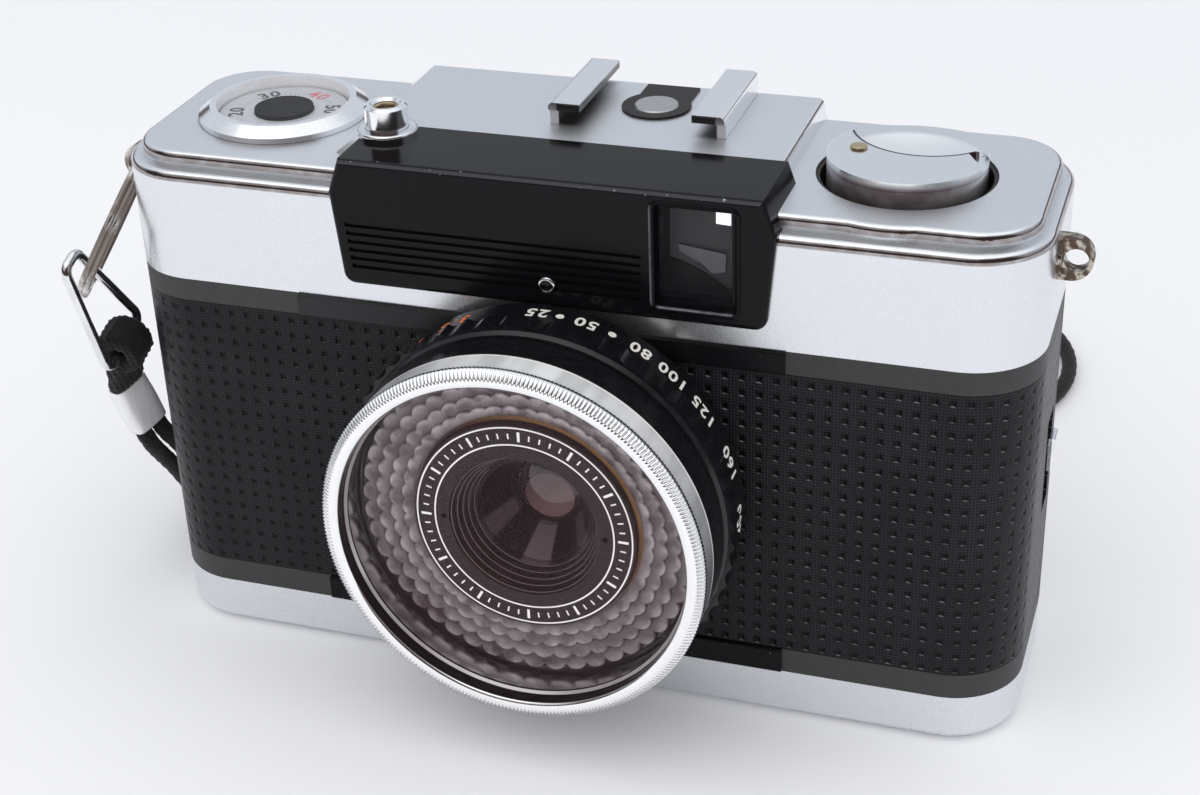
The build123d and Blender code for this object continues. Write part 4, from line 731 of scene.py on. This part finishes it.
def make_counter_glass():
    """A magnifying window: flat below, crowned above as 0.55 (1 - (r / R)^2)."""
    outer, rim, under, steps = 8.2, 68.0, 67.56, 96
    radius = np.linspace(0.1, outer, 26)
    crown = [(r, rim + 0.55 * (1 - (r / outer) ** 2)) for r in radius]
    base = [(r, under) for r in radius[::-1]]
    points, faces = turned_upright(COUNTER, crown + base, steps)
    glass = clear_glass("counter window", (0.75, 0.78, 0.82), 0.02, 0.15)
    return piece("counter_glass_crowned", points, faces, glass,
                 "body", ("counter_glass",), caps=steps)


def make_button_thread():
    """The cable release thread in the button: a brass wall whose radius goes in and out once a pitch."""
    pitch, turns, top, steps = 0.55, 7, 72.4, 40
    bore, tooth, wall = 1.28, 0.16, 1.495
    height = np.linspace(top, top - pitch * turns, turns * 6 + 1)
    inner = [(bore + tooth * abs((((top - h) / pitch) % 1) * 2 - 1), h) for h in height]
    outer = [(wall, h) for h in (height[-1], top)]
    points, _ = turned_upright(BUTTON, inner + outer, steps)
    faces = grid_faces(len(inner + outer), steps)
    return piece("button_thread", points, faces, old_brass(), "shutter_button")


def read_curve(curve):
    """Points and triangles of a curve's mesh. The curve is then thrown away."""
    holder = bpy.data.objects.new(curve.name, curve)
    mesh = bpy.data.meshes.new_from_object(holder)
    mesh.calc_loop_triangles()
    points = np.zeros(len(mesh.vertices) * 3)
    mesh.vertices.foreach_get("co", points)
    triangles = np.zeros(len(mesh.loop_triangles) * 3, int)
    mesh.loop_triangles.foreach_get("vertices", triangles)
    bpy.data.objects.remove(holder)
    bpy.data.curves.remove(curve)
    bpy.data.meshes.remove(mesh)
    return points.reshape(-1, 3), triangles.reshape(-1, 3)


# ---------------------------------------------------------------- printed numbers
def character_shape(text, size):
    """Points and triangles of one printed mark, centred, with x along the line and y up, in millimetres."""
    curve = bpy.data.curves.new("mark", "FONT")
    curve.body, curve.size, curve.align_x, curve.align_y = text, size, "CENTER", "CENTER"
    curve.resolution_u, curve.extrude, curve.offset = 3, PRINT, 0.022 * size
    return read_curve(curve)


def printed(name, marks, place, material, body):
    """One mesh of printed characters. marks are (character, size, position...), and place turns a
    character's points into millimetres on the camera."""
    points, faces, count = [], [], 0
    for text, size, *position in marks:
        shape, triangles = character_shape(text, size)
        points.append(place(shape, *position))
        faces.append(triangles + count)
        count += len(shape)
    return piece(name, np.vstack(points), np.vstack(faces), material, body, smooth=False)


def on_ring(shape, degrees, forward):
    """Wraps a mark on the scale ring: its top points forward and it reads anticlockwise seen from the front.
    The angle is the middle's less the way along over the radius."""
    angle = math.radians(degrees) - shape[:, 0] / RING_RADIUS
    out = RING_RADIUS + PRINT + shape[:, 2]
    return np.stack((
        LENS[0] + out * np.sin(angle), LENS[1] - forward - shape[:, 1], LENS[2] + out * np.cos(angle)
    ), -1)


def on_dial(shape, degrees, radius):
    """Lays a mark on the counter's dial with its top outwards, turned clockwise from the back."""
    angle = math.radians(degrees)
    out, along = np.array((math.sin(angle), math.cos(angle))), np.array((math.cos(angle), -math.sin(angle)))
    flat = COUNTER + radius * out + shape[:, [0]] * along + shape[:, [1]] * out
    return np.column_stack((flat, DIAL_TOP + PRINT + shape[:, 2]))


def spread(text, size, degrees, where, width, radius):
    """The characters of a number side by side about one angle, each at its own. where is passed on to the
    function that places them: a forward distance on the ring, a radius on the dial."""
    step = math.degrees(width / radius)
    first = degrees + step * (len(text) - 1) / 2
    return [(letter, size, first - step * i, where) for i, letter in enumerate(text)]


def make_ring_numbers():
    """White film speeds and orange apertures on the scale ring."""
    size, forward, width = 2.55, 3.75, 1.48
    speeds = (("25", -1.0), ("50", 13.6), ("80", 30.6), ("100", 42.1), ("125", 55.4), ("160", 72.8),
              ("200", 92.0), ("400", 112.0))
    dots = [("•", 3.4, at, forward) for at in (5.8, 21.5)]
    stops = (("3.5", -27.5), ("4", -40.0), ("5.6", -54.0), ("8", -67.0), ("11", -79.0), ("16", -93.0))
    white, orange = (
        [mark for text, at in marks for mark in spread(text, size, at, forward, width, RING_RADIUS)]
        for marks in (speeds, stops)
    )
    printed("speed_numbers", white + dots, on_ring, print_paint("white print", (0.88, 0.86, 0.80)),
            "control_ring")
    printed("stop_numbers", orange, on_ring, print_paint("orange print", (0.85, 0.20, 0.03)),
            "control_ring")


def make_dial_numbers():
    """Frame numbers on the counter's dial, one of them in red."""
    radius = 5.9

    def laid(text, at):
        """spread() runs anticlockwise, and the dial is read clockwise."""
        return [(letter, size, -angle, where)
                for letter, size, angle, where in spread(text, 2.6, -at, radius, 1.5, radius)]

    black = [mark for text, at in (("10", -175), ("20", -110), ("30", -44), ("50", 74), ("0", 150))
             for mark in laid(text, at)]
    printed("dial_numbers", black, on_dial, print_paint("black print", (0.08, 0.08, 0.09)),
            "counter")
    printed("dial_numbers_red", laid("40", 21), on_dial, print_paint("red print", (0.62, 0.20, 0.22)),
            "counter")


# ---------------------------------------------------------------- finder
def make_finder_inside():
    """What shows through the front window: a dark plate, a darker drum, a mirror painted grey as its reflection
    and a bright frame that glows with painted light.
    """
    def slab(name, corners, depth, thick, material):
        """A flat prism: a polygon of (x, z) corners at a depth behind the front, closed behind."""
        outline = np.array(corners, float)
        count = len(outline)
        near = np.column_stack((outline[:, 0], depth(outline), outline[:, 1]))
        far = near + (0, thick, 0)
        points = np.vstack((near, far))
        walls = [(i, (i + 1) % count, (i + 1) % count + count, i + count) for i in range(count)]
        fronts = [(0, i, i + 1) for i in range(1, count - 1)]
        backs = [(count, count + i + 1, count + i) for i in range(1, count - 1)]
        mesh = bpy.data.meshes.new(name)
        mesh.from_pydata((points * MM).tolist(), [], walls + fronts + backs)
        mesh.materials.append(material)
        made = in_scene(name, mesh)
        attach(made, "body")
        return made

    def at(depth):
        """A plane that far behind the front."""
        return lambda outline: FRONT + depth + 0 * outline[:, 0]

    bend = np.linspace(0, 1, 14)
    drum = [(13.7 + 7.9 * t, 59.1 - 1.6 * t - 2.6 * t * t) for t in bend] + [(21.6, 54.9), (13.7, 54.9)]
    slab("finder_bulkhead", ((13.6, 54.9), (22.0, 54.9), (22.0, 67.2), (13.6, 67.2)), at(4.2), 0.4,
         print_paint("finder bulkhead", (0.045, 0.043, 0.046)))
    slab("finder_drum", drum, at(4.0), 0.15, dull_black("finder drum", 0.05))
    # Painted reflection: the mirror is a grey sheet.
    slab("finder_mirror", ((14.7, 61.0), (20.3, 60.3), (20.2, 58.1), (18.7, 57.7), (17.9, 58.5), (14.8, 60.2)),
         at(3.75), 0.2, print_paint("finder mirror", (0.12, 0.12, 0.13)))
    # Painted light: the bright frame glows.
    slab("finder_bright_frame", ((19.2, 64.1), (20.9, 64.0), (20.9, 65.7), (19.2, 65.6)), at(3.5), 0.2,
         ground_glass())


def make_finder_lip():
    """The rounded bead round the finder's window: a circle of 0.32 mm carried round a rounded rectangle."""
    half_wide, half_high, corner, bead, proud = 4.95, 6.45, 0.9, 0.32, 0.97
    to_corner, steps = 9, 14
    turn = (np.arange(4)[:, None] * TURN / 4 + np.linspace(0, TURN / 4, to_corner)).reshape(-1)
    out = np.stack((np.cos(turn), np.sin(turn)), -1)
    quarter = np.repeat(((1, 1), (-1, 1), (-1, -1), (1, -1)), to_corner, 0)
    path = FINDER + quarter * (half_wide - corner, half_high - corner) + corner * out
    section = np.arange(steps) * TURN / steps
    away = bead * np.cos(section)[None, :, None] * out[:, None]
    forward = np.broadcast_to(FRONT - proud - bead * np.sin(section), away.shape[:2])
    flat = path[:, None] + away
    points = np.stack((flat[..., 0], forward, flat[..., 1]), -1)
    return piece("finder_lip", points, grid_faces(len(path), steps), lip_black(), "body")


# ---------------------------------------------------------------- strap
LINK_FOOT = np.array((-60.72, -10.56, 37.29))
SLEEVE_START = LINK_FOOT + (-2.14, 2.12, -7.03)
SLEEVE_DOWN = unit(1.34, 1.70, -6.87)
SLEEVE_FRONT = unit(np.cross(SLEEVE_DOWN, (0.35, 0.90, 0.25)))
SLEEVE_SIDE = unit(np.cross(SLEEVE_FRONT, SLEEVE_DOWN))
SLEEVE_LENGTH = 7.2
CORD_WIDTH = 2.4
CORD_EXIT = np.array((-61.0804, -5.59676, 23.7617))
CORD_RETURN = np.array((-61.9607, -7.88463, 23.0239))
ON_FLOOR = 1.25


def cord_route():
    """The cord's control points: out of the sleeve, down to the table, round the far loop and back."""
    straight = 2.5 * SLEEVE_DOWN
    down = ((-60.6, -1.0, 16.8), (-60.6, 2.2, 10.4), (-60.4, 5.4, 5.4), (-59.6, 11.0, 2.3))
    flat = (
        (-57.6, 18.0), (-52.6, 25.5), (-43, 33.5), (-29, 41.5), (-11, 47), (9, 50), (28, 52.5),
        (43.5, 59.5), (51.6, 72), (51.2, 86.5), (43, 98.5), (27, 103.5), (8, 101), (-13, 93),
        (-32, 80.5), (-47.5, 64), (-57.5, 45), (-62.5, 27),
    )
    up = ((-64.2, 14.5, 1.8), (-63.9, 8.4, 3.5), (-63.4, 3.8, 7.2), (-62.9, 0.2, 12.2), (-62.4, -3.6, 16.6))
    loop = (*down, *((x, y, ON_FLOOR) for x, y in flat), *up)
    return [CORD_EXIT, CORD_EXIT + straight, *loop, CORD_RETURN + straight, CORD_RETURN]


def smooth_line(points, resolution=24):
    """Points read from an open NURBS spline of order 3 with those control points, ends met."""
    curve = bpy.data.curves.new("line", "CURVE")
    curve.dimensions = "3D"
    spline = curve.splines.new("NURBS")
    spline.points.add(len(points) - 1)
    for place, point in zip(spline.points, points):
        place.co = (*(np.array(point) * MM), 1.0)
    spline.order_u = 3
    spline.use_endpoint_u = True
    spline.resolution_u = resolution
    line, _ = read_curve(curve)
    return line / MM


def even_line(line, step):
    """The same line with its points about step apart."""
    gaps = np.linalg.norm(np.diff(line, axis=0), axis=1)
    keep = np.concatenate(([True], gaps > 1e-6))
    line = line[keep]
    way = np.concatenate(([0], np.cumsum(np.linalg.norm(np.diff(line, axis=0), axis=1))))
    wanted = np.linspace(0, way[-1], int(way[-1] / step) + 1)
    return np.column_stack([np.interp(wanted, way, line[:, i]) for i in range(3)]), wanted


def along_path(line, start_side):
    """Two cross directions at each point of a line, carried along it so that they don't twist: each is the
    last one less its share of the new tangent."""
    tangent = np.gradient(line, axis=0)
    tangent /= np.linalg.norm(tangent, axis=1)[:, None]
    side = np.zeros_like(line)
    current = np.array(start_side, float)
    for i, forward in enumerate(tangent):
        current = current - forward * (current @ forward)
        current /= np.linalg.norm(current)
        side[i] = current
    return side, np.cross(tangent, side)


def make_cord():
    """A braided round cord. Its radius is 1.2 mm less a little where two sets of six ridges, wound opposite
    ways, leave hollows between them: 0.16 (1 - sqrt(|sin(3 a + k s)| |sin(3 a - k s)|))."""
    steps, lay, hollow = 24, 5.2, 0.16
    line, way = even_line(smooth_line(cord_route()), 0.33)
    side, front = along_path(line, SLEEVE_SIDE)
    turn, reach = (np.arange(steps) * TURN / steps)[None, :], way[:, None] * (TURN / lay)
    over = np.abs(np.sin(3 * turn + reach)) * np.abs(np.sin(3 * turn - reach))
    radius = CORD_WIDTH / 2 - hollow * (1 - np.sqrt(over))
    points = (line[:, None] + radius[..., None] * (
        np.cos(turn)[..., None] * side[:, None] + np.sin(turn)[..., None] * front[:, None]))
    faces = grid_faces(len(line), steps, closed_rows=False)
    cord = piece("wrist_cord", points, faces, braid("braided cord", 0.5), "body",
                 ("strap_cord",), caps=steps)
    return cord


def make_sleeve():
    """The sleeve round both ends of the cord: a tube whose section is a rounded oblong,
    |x / a|^4 + |y / b|^4 = 1, a little fuller at its middle, with a rolled rim and a thin wall."""
    rim, wall, steps = 0.12, 0.28, 56
    outer = [(d, 0.0, 0.10 * math.sin(math.pi * d / SLEEVE_LENGTH))
             for d in np.linspace(rim, SLEEVE_LENGTH - rim, 24)]
    inner = [(d, wall, 0.0) for d in np.linspace(SLEEVE_LENGTH - rim, rim, 10)]
    rows = np.array(outer + [(SLEEVE_LENGTH, wall / 2, 0.0)] + inner + [(0.0, wall / 2, 0.0)])
    angle = np.arange(steps) * TURN / steps
    cosine, sine = np.cos(angle), np.sin(angle)
    round_off = (np.abs(cosine) ** 4 + np.abs(sine) ** 4) ** -0.25
    half_width, half_thick = (half - rows[:, 1] + rows[:, 2] for half in (2.6, 1.6))
    points = (SLEEVE_START + rows[:, 0, None, None] * SLEEVE_DOWN
              + (half_width[:, None] * cosine * round_off)[..., None] * SLEEVE_SIDE
              + (half_thick[:, None] * sine * round_off)[..., None] * SLEEVE_FRONT)
    return piece("strap_sleeve_slick", points, grid_faces(len(rows), steps), sleeve_white(), "body",
                 ("strap_sleeve",))


def make_fold():
    """The folded end of the strap: the CAD form made soft. It is remeshed finely, smoothed, and pushed in and
    out along its normals by woven ridges, the product of two crossed sine waves."""
    mesh = node["strap_fold"].data.copy()
    mesh.materials.clear()
    fold = in_scene("strap_fold_woven", mesh)
    weld = fold.modifiers.new("weld", "WELD")
    weld.merge_threshold = 0.00001
    remesh = fold.modifiers.new("remesh", "REMESH")
    remesh.mode, remesh.voxel_size = "VOXEL", 0.00030
    soften = fold.modifiers.new("soften", "SMOOTH")
    soften.factor, soften.iterations = 0.5, 22
    shaped = bpy.data.meshes.new_from_object(fold.evaluated_get(bpy.context.evaluated_depsgraph_get()))
    shaped.name = "strap_fold_woven"
    fold.modifiers.clear()
    fold.data = shaped
    points, normals = np.zeros(len(shaped.vertices) * 3), np.zeros(len(shaped.vertices) * 3)
    shaped.vertices.foreach_get("co", points)
    shaped.vertex_normals.foreach_get("vector", normals)
    points, normals = points.reshape(-1, 3) / MM, normals.reshape(-1, 3)
    here = points - LINK_FOOT
    first, second, third = here @ SLEEVE_SIDE, here @ SLEEVE_DOWN, here @ SLEEVE_FRONT
    weave = 1.5
    ridges = np.sin((first + second) * TURN / weave) * np.sin((first - second + third) * TURN / weave)
    points = points + normals * (0.16 * ridges + 0.10)[:, None]
    shaped.vertices.foreach_set("co", (points * MM).reshape(-1))
    shaped.polygons.foreach_set("use_smooth", np.ones(len(shaped.polygons), bool))
    shaped.materials.append(braid("strap webbing", 0.7))
    shaped.update()
    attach(fold, "body")
    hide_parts("strap_fold")
    return fold


# ---------------------------------------------------------------- stage
def make_camera():
    """A long lens, 62 mm on a 36 mm frame, looking down from the front right."""
    lens = bpy.data.cameras.new("view")
    lens.lens, lens.sensor_width = 62.199, 36.0
    lens.clip_start, lens.clip_end = 0.01, 50
    right = (0.949993, 0.310601, -0.03225)
    up = (-0.124842, 0.472428, 0.872483)
    back = (0.28623, -0.824827, 0.487579)
    camera = in_scene("view", lens)
    turn = Matrix((right, up, back)).transposed().to_4x4()
    camera.matrix_world = Matrix.Translation(Vector((75.321, -215.98, 160.017)) * MM) @ turn
    bpy.context.scene.camera = camera


def make_floor():
    """A wide pale table, a little brighter towards the front."""
    half = 4.0
    corners = [(x * half, y * half, 0) for x, y in ((-1, -1), (1, -1), (1, 1), (-1, 1))]
    mesh = bpy.data.meshes.new("table")
    mesh.from_pydata(corners, [], [(0, 1, 2, 3)])
    f = Finish("pale table")
    cloud = f.mix(f.grain(400, 2), (0.0, 0.0, 0.0), (0.012, 0.012, 0.012))
    near = f.mix(f.y.ramp(320, -220), (0.795, 0.812, 0.848), (0.935, 0.94, 0.96))
    less = {"data_type": "RGBA", "blend_type": "SUBTRACT"}
    pale = f.add("ShaderNodeMix", less, {0: 1.0, 6: near, 7: cloud}, out=2)
    mesh.materials.append(f.done(pale, 0.0, 0.9, None, Specular_IOR_Level=0.0))
    table = in_scene("table", mesh)


def make_light():
    """A broad softbox overhead to the front left, and a pale room that is brighter in front and to the right.
    Mirrors and glass see a cool ceiling, a dark brown room low in front and a dark brown ring all round just
    above the table. The view itself sees plain white."""
    lamp = bpy.data.lights.new("softbox", "SUN")
    lamp.energy, lamp.angle = 0.38, math.radians(60)
    softbox = in_scene("softbox", lamp)
    softbox.rotation_euler = Vector((-0.27, -0.46, 0.85)).to_track_quat("Z", "Y").to_euler()
    world = bpy.data.worlds.new("room")
    bpy.context.scene.world = world
    world.use_nodes = True
    s = Shader(world.node_tree)
    direction = s.add("ShaderNodeTexCoord", out="Generated")
    height = s.add("ShaderNodeSeparateXYZ", {}, {0: direction}, out="Z")
    behind = height.other("Y")
    ceiling = s.mix(height.ramp(0.6, 0.95), (0.63, 0.67, 0.73), (1.05, 1.07, 1.1))
    ring, ahead = height.ramp(0.24, 0.14), (0 - behind).ramp(-0.05, 0.3) * height.ramp(0.92, 0.72)
    mirrored = s.mix(ring.most(ahead) * height.ramp(0.0, 0.06), ceiling, (0.06, 0.038, 0.034))
    ray = s.add("ShaderNodeLightPath", out="Is Camera Ray")
    seen = ray.other("Is Glossy Ray").most(ray.other("Is Transmission Ray"))
    fill = height.other("X") * 0.5 - behind * 0.85
    lighting = s.mix(fill.ramp(-0.95, 0.95), (0.57, 0.575, 0.585), (1.43, 1.42, 1.425))
    colour = s.mix(ray, s.mix(seen, lighting, mirrored), (0.89, 0.91, 0.945))
    surround = s.add("ShaderNodeBackground", {}, {"Color": colour, "Strength": 1.0})
    s.add("ShaderNodeOutputWorld", {}, {"Surface": surround})


# ---------------------------------------------------------------- making
make_camera()
make_cord()
make_sleeve()
make_fold()
make_filter_ring()
make_lenslet_window()
make_counter_glass()
make_button_thread()
make_ring_numbers()
make_dial_numbers()
make_finder_inside()
make_finder_lip()

dress(satin_chrome(), "top_cover", "bottom_cover")
dress(shoe_chrome(), "accessory_shoe")
dress(knob_chrome(), "rewind_knob", "rewind_crank")
dress(turned_chrome("turned bezel", COUNTER, 8.3), "counter_bezel")
dress(turned_chrome("turned button", BUTTON), "shutter_button")
dress(polished_chrome(), "button_collar", "index_pin", "flash_socket",
      "rewind_release", "door_latch", "strap_link")
dress(worn_nickel("worn nickel", (0.50, 0.46, 0.40), (0.09, 0.06, 0.04), 0.9, 0.38), "strap_eye_right")
dress(worn_nickel("dark nickel", (0.66, 0.64, 0.61), (0.24, 0.20, 0.18), 3.5, 0.36),
      "strap_eye_left", "split_ring")
dress(gloss_black(), "front_mask", "eyepiece_frame")
dress(black_band(), "front_plate", "back_door", "advance_wheel", "pressure_plate")
dress(leatherette(), "front_leatherette", "door_leatherette")
dress(ring_black(), "lens_base", "control_ring", "front_barrel")
dress(name_ring_black(), "name_ring")
dress(dull_black(), "rewind_cup", "finder_tunnel", "shoe_insulator", "shutter_plate",
      "take_up_spool", "sprocket")
dress(lens_baffle(), "lens_tube")
dress(cast_alloy(), "body_casting", "film_gate_block", "cassette_cup")
dress(plain_steel(), "shoe_contact", "bottom_screws", "tripod_socket", "counter_bracket",
      "rewind_sleeve", "hinge_pin", "pressure_spring", "shutter_blade_left", "shutter_blade_right")
dress(old_brass(), "crank_rivet")
dress(counter_face(), "counter_dial")
dress(coated_glass(), "front_element", "rear_element")
dress(cell_brown(), "selenium_cell")
dress(clear_glass("finder glass", (0.30, 0.33, 0.40), 0.01, 0.05), "finder_glasses")
dress(clear_glass("pink filter glass", (0.65, 0.42, 0.46), 0.014, 0.16), "filter_glass")

make_floor()
make_light()
bpy.context.scene.view_settings.view_transform = "Standard"
